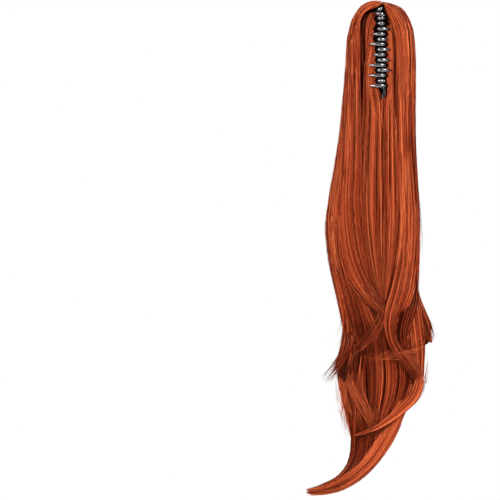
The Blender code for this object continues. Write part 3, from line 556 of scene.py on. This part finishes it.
def grooves(x, y, depth):
    """Displacement that parts a surface into locks: valleys at the noise's zero crossings."""
    coarse = noise(x, y)
    fine = noise(x * 2.7 + 31, y * 1.6 + 9)
    valley = np.exp(-((coarse / 0.16) ** 2)) + 0.55 * np.exp(-((fine / 0.2) ** 2))
    return -depth * valley


def add_object(name, data):
    made = bpy.data.objects.new(name, data)
    bpy.context.scene.collection.objects.link(made)
    return made


def make_mesh(name, points, faces, uv, finish):
    """A smooth mesh object from arrays: points (n, 3), faces (m, 4), uv for each point (n, 2)."""
    mesh = bpy.data.meshes.new(name)
    mesh.vertices.add(len(points))
    mesh.vertices.foreach_set("co", points.astype(np.float32).ravel())
    mesh.loops.add(faces.size)
    mesh.loops.foreach_set("vertex_index", faces.astype(np.int32).ravel())
    mesh.polygons.add(len(faces))
    starts = np.arange(0, faces.size, faces.shape[1], dtype=np.int32)
    mesh.polygons.foreach_set("loop_start", starts)
    mesh.update(calc_edges=True)
    for layer_name, values in uv.items():
        layer = mesh.uv_layers.new(name=layer_name)
        layer.data.foreach_set("uv", values[faces.ravel()].astype(np.float32).ravel())
    mesh.shade_smooth()
    mesh.materials.append(finish)
    return add_object(name, mesh)


def grid_faces(rows, columns, closed):
    """Faces of a grid of points. A closed one joins its last column to its first."""
    index = np.arange(rows * columns).reshape(rows, columns)
    right = np.roll(index, -1, axis=1)
    if not closed:
        index = index[:, :-1]
        right = right[:, :-1]
    return np.stack((index[:-1], right[:-1], right[1:], index[1:]), axis=-1).reshape(-1, 4)


def ribbons(name, paths, ways_out, widths, tint):
    """Flat strands. paths and ways_out (n, steps, 3), widths and tint (n, steps)."""
    count, steps, _ = paths.shape
    along = unit(np.gradient(paths, axis=1))
    side = unit(np.cross(along, ways_out))
    twist = noise(np.arange(count)[:, None] * 7.3, np.linspace(0, 3, steps)[None, :])
    tilt = chance.normal(0, STRAND_TILT, (count, 1)) + STRAND_TWIST * twist
    side = side * np.cos(tilt)[..., None] + ways_out * np.sin(tilt)[..., None]
    half = side * widths[..., None] / 2
    points = np.stack((paths - half, paths + half), axis=2).reshape(-1, 3)
    start = np.arange(count)[:, None] * steps * 2 + np.arange(steps - 1)[None, :] * 2
    faces = np.stack((start, start + 1, start + 3, start + 2), axis=-1).reshape(-1, 4)
    shape = (count, steps, 2)
    run = np.broadcast_to(evenly(steps)[None, :, None], shape)
    tint = np.broadcast_to(np.clip(tint, 0, 1)[..., None], shape)
    band = np.broadcast_to((np.arange(count)[:, None, None] + np.array((0.1, 0.9))) / count, shape)
    tints = np.stack((tint, run), axis=-1).reshape(-1, 2)
    lay = np.stack((run, band), axis=-1).reshape(-1, 2)
    return make_mesh(name, points, faces, {"tint": tints, "OFBake": lay}, HAIR)


def sheet(name, points, tint, finish, closed=False):
    """A smooth grid surface. points (rows, columns, 3), tint (rows, columns)."""
    rows, columns, _ = points.shape
    v, u = np.meshgrid(evenly(rows), evenly(columns), indexing="ij")
    tints = np.stack((tint, v), axis=-1).reshape(-1, 2)
    lay = np.stack((u, v), axis=-1).reshape(-1, 2)
    faces = grid_faces(rows, columns, closed)
    return make_mesh(name, points.reshape(-1, 3), faces, {"tint": tints, "OFBake": lay}, finish)


def join_tubes(tubes):
    """Points and faces of tubes, each (rows, sides, 3)."""
    points = []
    faces = []
    for tube in tubes:
        before = sum(len(part) for part in points)
        faces.append(grid_faces(len(tube), tube.shape[1], closed=True) + before)
        points.append(tube.reshape(-1, 3))
    return np.concatenate(points), np.concatenate(faces)


def circle(sides):
    return np.arange(sides) * 2 * math.pi / sides


def new_material(name, roughness, metallic=0.0):
    made = bpy.data.materials.new(name)
    made.use_nodes = True
    shader = made.node_tree.nodes["Principled BSDF"]
    shader.inputs["Roughness"].default_value = roughness
    shader.inputs["Metallic"].default_value = metallic
    return made, made.node_tree, shader


def add_node(tree, kind, values={}, sources={}):
    """A shader node, with its inputs set to values or linked to other nodes' sockets."""
    node = tree.nodes.new(f"ShaderNode{kind}")
    for label, value in values.items():
        node.inputs[label].default_value = value
    for label, socket in sources.items():
        tree.links.new(socket, node.inputs[label])
    return node


def add_math(tree, operation, values, sources, kind="Math"):
    node = add_node(tree, kind, values, sources)
    node.operation = operation
    return node.outputs[0]


def add_ramp(tree, share, stops):
    """Colour by share. stops: pairs of a share and a colour."""
    ramp = add_node(tree, "ValToRGB", sources={"Fac": share})
    elements = ramp.color_ramp.elements
    elements.remove(elements[0])
    for i, (position, colour) in enumerate(stops):
        stop = elements.new(position) if i else elements[0]
        stop.position = position
        stop.color = (*colour, 1)
    return ramp.outputs["Color"]


def hair_material(name, roughness, bright, shine):
    """Colour by tint, with finer changes along and across the strands."""
    made, tree, shader = new_material(name, roughness)
    lay = add_node(tree, "UVMap")
    lay.uv_map = "tint"
    spot = add_math(tree, "MULTIPLY", {1: CHANGES}, {0: lay.outputs["UV"]}, "VectorMath")
    change = add_node(tree, "TexNoise", {"Scale": 1.0, "Detail": 2.0}, {"Vector": spot})
    tint = add_node(tree, "SeparateXYZ", sources={0: lay.outputs["UV"]}).outputs["X"]
    lowest = add_math(tree, "SUBTRACT", {1: CHANGE / 2}, {0: tint})
    share = add_math(tree, "MULTIPLY_ADD", {1: CHANGE}, {0: change.outputs["Fac"], 2: lowest})
    stops = [(position, [part * bright for part in colour]) for position, colour in HAIR_STOPS]
    tree.links.new(add_ramp(tree, share, stops), shader.inputs["Base Color"])
    shader.inputs["Specular IOR Level"].default_value = shine
    shader.inputs["Specular Tint"].default_value = HAIR_SHEEN
    return made


def gunmetal(name, side):
    """Painted shade: black towards the jaw's wall, the metal's own grey towards the tips. side: -1 left jaw,
    1 right jaw.
    """
    made, tree, shader = new_material(name, 0.18, 0.95)
    lay = add_node(tree, "TexCoord").outputs["Object"]
    change = add_node(tree, "TexNoise", {"Scale": 420.0, "Detail": 3.0}, {"Vector": lay})
    metal_colour = add_ramp(tree, change.outputs["Fac"], TOOTH_METAL_STOPS)
    parts = add_node(tree, "SeparateXYZ", sources={0: lay})
    limits = {"From Min": side * TOOTH_SHADE_FULL, "From Max": side * TOOTH_SHADE_NONE}
    # 0 in the painted shade near the jaw's wall, 1 towards the tips
    lit_share = add_node(tree, "MapRange", limits, {"Value": parts.outputs["X"]})
    blend = add_node(tree, "Mix")
    blend.data_type = "RGBA"
    blend.inputs[6].default_value = TOOTH_SHADE_COLOUR
    tree.links.new(lit_share.outputs["Result"], blend.inputs[0])
    tree.links.new(metal_colour, blend.inputs[7])
    tree.links.new(blend.outputs[2], shader.inputs["Base Color"])
    return made


def plain_material(name, colour, roughness, metallic=0.0):
    """One colour with a fine grain of darker and lighter spots."""
    made, tree, shader = new_material(name, roughness, metallic)
    lay = add_node(tree, "TexCoord").outputs["Object"]
    change = add_node(tree, "TexNoise", {"Scale": 900.0}, {"Vector": lay})
    dark = [part * 0.7 for part in colour]
    light = [min(part * 1.3, 1) for part in colour]
    ramp = add_ramp(tree, change.outputs["Fac"], ((0.0, dark), (1.0, light)))
    tree.links.new(ramp, shader.inputs["Base Color"])
    return made


def strand_shares(look):
    """Each strand's own run, 0 to 1, and the shares of its lock or tress where that lies."""
    run = evenly(look.steps)[None, :]
    begin = pick((0, look.late), look.count)
    end = look.short + (look.long - look.short) * chance.random((look.count, 1)) ** 0.6
    return run, begin + (end - begin) * run


def taper(run, start, end):
    """1 along a strand, narrowing over its first and last shares."""
    return np.clip(run / start, 0.15, 1) * np.clip((1 - run) / end, 0.08, 1)


def attach(pieces, bodies, node):
    """Hair pieces show in place of a node and move with one body; with two, their place is baked in."""
    for piece in pieces:
        if isinstance(bodies, tuple):
            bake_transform(piece)
        else:
            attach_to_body(piece, bodies)
        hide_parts(node)


def lock_frames(rows, share):
    """Centre, side axis, depth axis and half sizes of a lock's sections at shares of its length."""
    fine = evenly(121)
    values = spline_rows(np.array(rows) / 1000, fine)
    centre = place(values[:, 0], values[:, 1], values[:, 2])
    along = unit(np.gradient(centre, axis=0))
    side = unit(np.stack((-along[:, 2], np.zeros(len(fine)), along[:, 0]), axis=-1))
    depth = np.cross(side, along)
    depth = depth * np.sign(depth[:, 1:2])
    half_width = np.maximum(values[:, 3], 0.004) * HAIR_WIDTH
    half_depth = np.maximum(values[:, 4], 0.008) * CROWN_DEPTH
    table = np.concatenate((centre, side, depth, half_width[:, None], half_depth[:, None]), axis=1)
    found = np.stack([np.interp(share, fine, column) for column in table.T], axis=-1)
    centre, side, depth, half_width, half_depth = np.split(found, (3, 6, 9, 10), axis=-1)
    return centre, unit(side), unit(depth), half_width, half_depth


def lock_points(rows, share, turn, out):
    """Points on a lock and their ways out; out is metres over its surface."""
    centre, side, depth, half_width, half_depth = lock_frames(rows, share)
    s, d = section_shape(turn)
    s = s[..., None]
    d = d[..., None]
    way = unit(side * s / half_width + depth * d / half_depth)
    return centre + side * s * half_width + depth * d * half_depth + way * out[..., None], way


def lock_core(name, rows, key, look):
    turns = evenly(37)[None, :-1]
    shares = evenly(43)[:, None]
    out = grooves(turns * LOCK_GIRTH + key, shares * 2.0, LOCK_GROOVE) - look.slim
    deeper, until = look.buried
    out = out - deeper * look.rooted * (1 - smooth_step(shares / until))
    points, _ = lock_points(rows, shares + turns * 0, turns + shares * 0, out)
    # A low tint: painted shade under the strands
    tint = LOCK_CORE_TINT + look.light + 0.2 * noise(turns * LOCK_GIRTH * 2 + key, shares * 3)
    return sheet(f"{name}_core", points, tint, CORE, closed=True)


def lock_strands(name, rows, key, look):
    count = look.count
    turn = pick(look.turns, count)
    run, share = strand_shares(look)
    drift = 0.035 * noise(turn * 9 + key, share * 2.5) + 0.01 * scatter(count) * share
    place_turn = turn + drift
    out = grooves(place_turn * LOCK_GIRTH + key, share * 2.0, LOCK_GROOVE)
    out = out + LIFT * pick((-0.6, 1.2), count)
    out = out - (look.slim - CORE_SINK) * chance.random((count, 1)) ** 0.4
    out = out - look.rooted * (1 - smooth_step(share / ROOT_SHARE))
    free = np.clip((share - 0.7) / 0.3, 0, 1) ** 2
    out = out + free * look.spread * LOCK_FRAY * scatter(count)
    paths, ways = lock_points(rows, share, place_turn, out)
    tint = LOCK_TINT + look.light + LOCK_MIX * scatter(count)
    # Strands lying deeper, in the grooves and at the sunk root, are darker: painted shade
    tint = tint + 0.22 * noise(turn * LOCK_GIRTH * 1.3 + key, share * 2) + out / LOCK_GROOVE * 0.10
    widths = STRAND * pick(STRAND_SIZES, count) * taper(run, 0.06, 0.3)
    return ribbons(f"{name}_strands", paths, ways, widths, tint)


def make_lock(name, rows, node, **changes):
    """A lock of the body hair: a grooved core and the strands over it."""
    look = SimpleNamespace(**{**LOCK_LOOK, **changes})
    key = chance.uniform(0, 200)
    pieces = [lock_core(name, rows, key, look)] if look.cored else []
    pieces.append(lock_strands(name, rows, key, look))
    attach(pieces, "hair", node)


def body_grooves(share, down):
    wide = np.interp(down, (0, 0.05, 0.3, 1.3), (0.25, 0.7, 1.0, 1.0))
    return grooves(share * BODY_GIRTH + 3.0, down * 1.1, GROOVE) * wide


def lip_points(downs):
    """The hair that turns inwards at the two edges of the slot, for the core."""
    inward = np.linspace(0.04, 1, LIP_COLUMNS)[None, :]
    shut = window(downs, LIP_FROM, 0.04, LIP_TO, 0.2)
    made = []
    for column, sign in ((2, 1), (1, -1)):
        edge, _ = skin_frame(downs, slot_turn(downs, column))
        x = edge[..., 0] + sign * LIP_BULGE * np.sin(inward * math.pi * 0.6) * shut
        y = edge[..., 1] + LIP_DEPTH * shut * inward
        z = edge[..., 2] + inward * 0
        made.append(np.stack((x, y, z), axis=-1))
    return made


def body_core():
    crown = (0.0001, 0.0006, 0.0012, 0.002, 0.005)
    rest = np.linspace(0.22, BODY_END, 64)
    downs = np.concatenate((crown, np.linspace(0.010, 0.2, 25), rest))[:, None]
    shares = evenly(300)[None, :]
    point, way = skin_frame(downs + shares * 0, around_at(shares, downs))
    out = body_grooves(shares, downs) - CORE_SINK
    surface = point + way * out[..., None]
    right, left = lip_points(downs)
    surface = np.concatenate((right[:, ::-1], surface, left), axis=1)
    cross = evenly(surface.shape[1])[None, :]
    # A low tint: painted shade between the strands, lighter on the lips
    tint = BODY_CORE_TINT + 0.15 * noise(cross * 130, downs * 2.5) + 0.10 * noise(cross * 300, downs * 4)
    on_lip = np.pad(np.zeros(shares.size), LIP_COLUMNS, constant_values=1)
    tint = tint + LIP_TINT * on_lip[None, :]
    return sheet("outer_core", surface, np.clip(tint, 0, 1), CORE)


def body_downs(count, run):
    """How far down the strands' points lie: most begin at the crown, some later."""
    begin = 0.0002 + 0.05 * chance.random((count, 1)) ** 2.5
    late = chance.random((count, 1)) < 0.25
    begin = np.where(late, pick((0.05, 0.9), count), begin)
    end = BODY_END - 0.16 * chance.random((count, 1)) ** 1.6
    curled = np.interp(run, (0, 0.1, 0.2, 0.3, 1), (0, 0.006, 0.03, 0.09, 1))
    return begin + (end - begin) * np.where(late, run, curled)


def body_strands(part):
    """The strands of one of the body's parts, from the slot's right edge round to its left."""
    count = BODY_STRANDS
    share = pick((part / BODY_PARTS, (part + 1) / BODY_PARTS), count)
    run = evenly(BODY_STEPS)[None, :]
    down = body_downs(count, run)
    drift = 0.010 * noise(share * 14 + 50, down * 2.0) + 0.004 * noise(share * 400, down * 4)
    place_share = np.clip(share + drift * np.clip(down, 0.1, 1), 0.0, 1.0)
    point, way = skin_frame(down, around_at(place_share, down))
    out = body_grooves(place_share, down)
    groove_shade = out / GROOVE
    loose = (chance.random((count, 1)) < 0.05) * np.clip(down - 0.1, 0, 1)
    out = out + LIFT * pick((-0.8, 1.3), count) + loose * FLYAWAY * np.abs(noise(share * 900, down * 5))
    clump = noise(share * 75 + 7, down * 1.4)
    broad = noise(share * 22 + 70, down * 0.8)
    thin = noise(share * 210 + 19, down * 1.2)
    # Strands deeper in the grooves are darker: painted shade; the other terms are the hair's own tone
    tint = BODY_TINT + BODY_MIX * scatter(count) + 0.11 * clump + 0.12 * broad + 0.10 * groove_shade + 0.22 * thin
    widths = STRAND * pick(STRAND_SIZES, count) * taper(run, 0.04, 0.2)
    widths = widths * np.interp(down, (0, 0.06), (0.5, 1.0))
    return ribbons(f"outer_strands_{part}", point + way * out[..., None], way, widths, tint)


def make_body():
    pieces = [body_core()] + [body_strands(part) for part in range(BODY_PARTS)]
    attach(pieces, "hair", "outer_fall")


def front_of_body(x, z):
    """Depth of the outer body's front, closed over the slot."""
    crown = (CROWN_TOP - z) / CROWN_LENGTH
    fall = 1 + (ROOM_FLOOR - z) / FALL_LENGTH
    across, back, half_width, half_depth = body_at(np.where(z > ROOM_FLOOR, crown, fall))
    share = np.clip(np.abs(x / HAIR_WIDTH - across) / half_width, 0, 0.999)
    depth = (1 - share**SECTION_POWER) ** (1 / SECTION_POWER)
    return (back - half_depth * depth) * CROWN_DEPTH


def tress_rows(rows):
    """A tress's edges in millimetres, with five values in each row."""
    rows = [row if len(row) == 5 else (row[0], row[2], row[1], *row[2:]) for row in rows]
    return np.array(rows) / 10


def tress_grid(rows, run, share):
    """Points of a tress, in metres, at shares of its length and width."""
    values = spline_rows(rows, run) * 0.001
    x = values[..., 0] + (values[..., 2] - values[..., 0]) * share
    z = values[..., 1] + (values[..., 3] - values[..., 1]) * share
    y = values[..., 4] + x * 0
    hugging = smooth_step((z - HUG_BELOW) / HUG_FADE)
    y = y + (np.maximum(y, front_of_body(x, z) - HUG) - y) * hugging
    return np.stack((x, y, z), axis=-1)


def tress_points(rows, run, share, out):
    """Points out metres over a tress, and their ways out, which turn aside at its edges."""
    step = 0.02
    point = tress_grid(rows, run, share)
    ahead = tress_grid(rows, np.clip(run + step, 0, 1), share)
    behind = tress_grid(rows, np.clip(run - step, 0, 1), share)
    across = tress_grid(rows, run, share + step) - tress_grid(rows, run, share - step)
    way = unit(np.cross(across, ahead - behind))
    way = way * -np.sign(way[..., 1:2] + 1e-9)
    tilt = unit(across) * ((share * 2 - 1) * 0.9)[..., None]
    sag = ROUND_BACK * np.abs(share * 2 - 1) ** 2.5
    point = point + way * out[..., None]
    point[..., 1] += sag + ROOT_DEPTH * (1 - smooth_step(run / TRESS_ROOT))
    return point, unit(way + tilt)


def parting(partings, share, run):
    """1 along drawn partings and 0 elsewhere."""
    fall = share * 0 + run * 0
    for middle, first, last, half in partings:
        near = np.exp(-(((share - middle) / half) ** 2))
        near = near * smooth_step((run - first) / 0.06) * smooth_step((last - run) / 0.10)
        fall = np.maximum(fall, near)
    return fall


def tress_core(rows, key, look):
    run = evenly(46)[:, None]
    share = np.linspace(0.03, 0.97, 30)[None, :]
    close = np.clip(np.minimum(run * 8, (1 - run) * 5), 0, 1)
    fall = parting(look.partings, share, run)
    out = grooves(share * look.locks + key, run * 2.0, TRESS_GROOVE)
    out = out - TRESS_SINK - END_SINK * (1 - close) - PARTING * fall
    narrow = 0.5 + (share - 0.5) * (0.2 + 0.8 * close)
    points, _ = tress_points(rows, run + share * 0, narrow, out)
    # A low tint: painted shade under the strands
    tint = TRESS_CORE_TINT + look.light + look.fade * run**2
    # Darker along the partings: painted shade
    tint = tint + 0.12 * noise(share * look.locks * 4 + key, run * 3) - 0.2 * fall
    return sheet(f"{look.name}_core", points, np.clip(tint, 0, 1), CORE)


def tress_strands(rows, key, look):
    count = look.count
    share = chance.random((count, 1))
    run, length = strand_shares(look)
    drift = look.wander * noise(share * 8 + key, length * 2.5) + 0.012 * scatter(count) * length
    across = np.clip(share + drift, -0.03, 1.03)
    out = grooves(across * look.locks + key, length * 2.0, TRESS_GROOVE)
    groove_shade = out / TRESS_GROOVE
    free = np.clip((run - 0.75) / 0.25, 0, 1) ** 2 * look.fray
    fall = parting(look.partings, across, length)
    out = out + LIFT * pick((-0.8, 1.4), count) + free * FRAY_OUT * scatter(count)
    out = out - PARTING * fall
    across = across + free * FRAY_ASIDE * scatter(count)
    paths, ways = tress_points(rows, length, across, out)
    clump = noise(across * look.locks * 3 + key + 40, length * 1.5)
    # Strands deeper in the grooves are darker: painted shade
    tint = TRESS_TINT + look.light + TRESS_MIX * scatter(count) + 0.18 * clump + 0.14 * groove_shade
    # Darker along the partings: painted shade
    tint = tint + look.fade * length**2 - 0.5 * fall
    # Darker at the edges and sloped from left to right: painted shade and light
    tint = tint - look.rim * np.abs(across * 2 - 1) ** 5 + look.slope * (across - 0.5)
    widths = STRAND * look.thin * pick(TRESS_SIZES, count) * taper(run, 0.06, 0.3)
    return ribbons(f"{look.name}_strands", paths, ways, widths, tint)


def make_tress(row, changes, edges):
    """Strands over a grooved core, or strands alone."""
    look = SimpleNamespace(**{**TRESS_LOOK, **dict(zip(TRESS_COLUMNS, row)), **changes})
    rows = tress_rows(edges)
    key = chance.uniform(0, 200)
    pieces = [tress_core(rows, key, look)] if look.backed else []
    pieces.append(tress_strands(rows, key, look))
    attach(pieces, look.bodies, look.node)


def tooth_path(side_name, index):
    """Path and radii of a tooth, from its jaw's wall to its tip."""
    side = -1 if side_name == "left" else 1
    rows = TEETH[side_name]
    reach, sink, rise, spread = rows[index]
    pitch = TOOTH_ROW / (len(rows) - 0.25)
    first = TOOTH_ROW / 2 - pitch * (0.25 if side_name == "left" else 0.75)
    height = first - pitch * (index + sink)
    made = []
    for outward, forward, thick, climb in JAW_PROFILE:
        wide = outward * (spread if forward > 0.3 and outward > 0.5 else 1)
        x = side * wide * JAW_HALF_WIDTH
        made.append((x, HINGE_Y - forward * JAW_DEPTH, height + climb * rise * pitch, thick))
    tip_z = height + rise * pitch
    tip = (-side * reach * JAW_HALF_WIDTH, HINGE_Y - TIP_FORWARD * JAW_DEPTH, tip_z, TIP_THICK)
    last = made[-1]
    middle = ((last[0] + tip[0]) / 2, HINGE_Y - JAW_DEPTH, (last[2] + tip[2]) / 2, MIDDLE_THICK)
    made += [middle, tip]
    fine = spline_rows(made, evenly(41))
    return fine[:, :3], fine[:, 3] * TOOTH_RADIUS * TOOTH_COVER


def tooth_tube(side_name, index):
    path, radii = tooth_path(side_name, index)
    tip = path[-1] + unit(path[-1] - path[-2]) * radii[-1] * 0.7
    path = np.concatenate((path, tip[None]))
    radii = np.concatenate((radii, radii[-1:] * 0.15))
    along = unit(np.gradient(path, axis=0))
    flat = unit(np.cross(along, (0, 0, 1)))
    rise = np.cross(flat, along)
    turns = circle(TOOTH_SIDES)
    upright = rise[:, None] * np.sin(turns)[None, :, None] * TOOTH_TALL
    ring = flat[:, None] * np.cos(turns)[None, :, None] + upright
    return path[:, None] + ring * radii[:, None, None]


def make_teeth(side_name):
    """Smooth teeth over the jaw's own."""
    points, faces = join_tubes([tooth_tube(side_name, k) for k in range(len(TEETH[side_name]))])
    lay = np.stack((points[:, 0] * 30 + 0.5, points[:, 2] * 9 + 0.5), axis=-1)
    piece = make_mesh(f"teeth_{side_name}", points, faces, {"lay": lay}, METAL[side_name])
    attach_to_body(piece, f"{side_name}_jaw")


def ply_tube(start):
    """One ply of the thread's end. start: radians where it begins round the other ply."""
    low, high = np.array(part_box("thread_knot"))
    middle = (low + high) / 2
    half = (high - low) / 2
    down = evenly(60)
    sway, size = spline_rows(KNOT, down).T
    angle = down * 2 * math.pi * KNOT_TURNS + start
    radius = size * KNOT_PLY
    x = middle[0] + sway * half[0] * 0.6 + np.cos(angle) * radius * 0.8
    y = middle[1] + np.sin(angle) * radius * 0.8
    path = np.stack((x, y, high[2] - down * half[2] * 2), axis=-1)
    turns = circle(KNOT_SIDES)
    ring = np.stack((np.cos(turns), np.sin(turns), turns * 0), axis=-1)
    return path[:, None] + ring[None] * radius[:, None, None]


def make_knot():
    """The end of the binding thread: two twisted plies."""
    points, faces = join_tubes([ply_tube(0), ply_tube(math.pi)])
    piece = make_mesh("thread_end", points, faces, {"lay": points[:, [0, 2]] * 60}, THREAD)
    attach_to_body(piece, "right_jaw")
    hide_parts("thread_knot")


def dress(node, finish):
    for place_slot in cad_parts[node].material_slots:
        place_slot.material = finish


def area_light(name, where, size, power):
    data = bpy.data.lights.new(name, "AREA")
    data.shape = "DISK"
    data.size = size
    data.energy = power
    lamp = add_object(name, data)
    lamp.location = where
    way = np.array(where) - np.array(LIGHT_AIM)
    lean = math.atan2(math.hypot(way[0], way[1]), way[2])
    lamp.rotation_euler = (lean, 0, math.atan2(way[0], -way[1]))


def make_camera():
    data = bpy.data.cameras.new("camera")
    data.sensor_width = SENSOR
    data.lens = SENSOR * CAMERA_DISTANCE / (FRAME_PIXELS * PIXEL)
    data.clip_end = 100
    camera = add_object("camera", data)
    middle = FRAME_PIXELS / 2
    x = (middle - ORIGIN_PIXEL[0]) * PIXEL
    z = (ORIGIN_PIXEL[1] - middle) * PIXEL
    camera.location = (x, -CAMERA_DISTANCE, z)
    camera.rotation_euler = (math.radians(90), 0, 0)
    bpy.context.scene.camera = camera


def make_world():
    world = bpy.data.worlds.new("studio")
    bpy.context.scene.world = world
    world.use_nodes = True
    shade = world.node_tree.nodes["Background"]
    shade.inputs["Color"].default_value = (1, 1, 1, 1)
    seen = add_node(world.node_tree, "LightPath").outputs["Is Camera Ray"]
    limits = {"To Min": WORLD_LIGHT, "To Max": 1.0}
    strength = add_node(world.node_tree, "MapRange", limits, {"Value": seen})
    world.node_tree.links.new(strength.outputs["Result"], shade.inputs["Strength"])


def make_stage():
    turns = circle(64)
    rings = np.array((0.001, 0.4, 0.8, 1.0))[:, None] * FLOOR_RADIUS
    x = rings * np.cos(turns)
    y = rings * np.sin(turns)
    points = np.stack((x, y, np.full(x.shape, FLOOR)), axis=-1)
    pale, _, shader = new_material("pale_floor", 0.9)
    shader.inputs["Base Color"].default_value = (0.93, 0.93, 0.93, 1)
    sheet("floor", points, x * 0, pale, closed=True)
    make_world()
    bpy.context.scene.view_settings.view_transform = "Standard"
    for light in LIGHTS:
        area_light(*light)


make_camera()
make_stage()
HAIR = hair_material("copper_hair", 0.36, 1.0, 0.24)
# The cores' darker, duller finish is painted shade under the strands
CORE = hair_material("copper_hair_core", 0.6, 0.8, 0.05)
METAL = {"left": gunmetal("gunmetal_left", -1), "right": gunmetal("gunmetal_right", 1)}
STEEL = plain_material("spring_steel", (0.35, 0.35, 0.36), 0.3, 1.0)
THREAD = plain_material("binding_thread", (0.03, 0.03, 0.031), 0.25)
dress("jaw_left", METAL["left"])
dress("jaw_right", METAL["right"])
dress("hinge_pin", STEEL)
dress("torsion_spring", STEEL)
make_knot()
make_body()

make_lock("inner", INNER_BODY, "inner_fall", count=900, steps=18, short=0.9, late=0.5, light=-0.08,
          turns=(0.16, 0.84), rooted=0)
make_lock("inner_front", INNER_BODY, "inner_fall", count=300, steps=16, short=0.35, long=0.5, light=-0.2,
          turns=(-0.17, 0.17), cored=False, rooted=0)
for name, rows in LOCKS.items():
    node = "inner_fall" if name == "tail" else "outer_fall"
    make_lock(name, rows, node, **LOCK_CHANGES.get(name, {}))

for *row, changes, edges in TRESSES:
    make_tress(row, changes, edges)
make_teeth("left")
make_teeth("right")
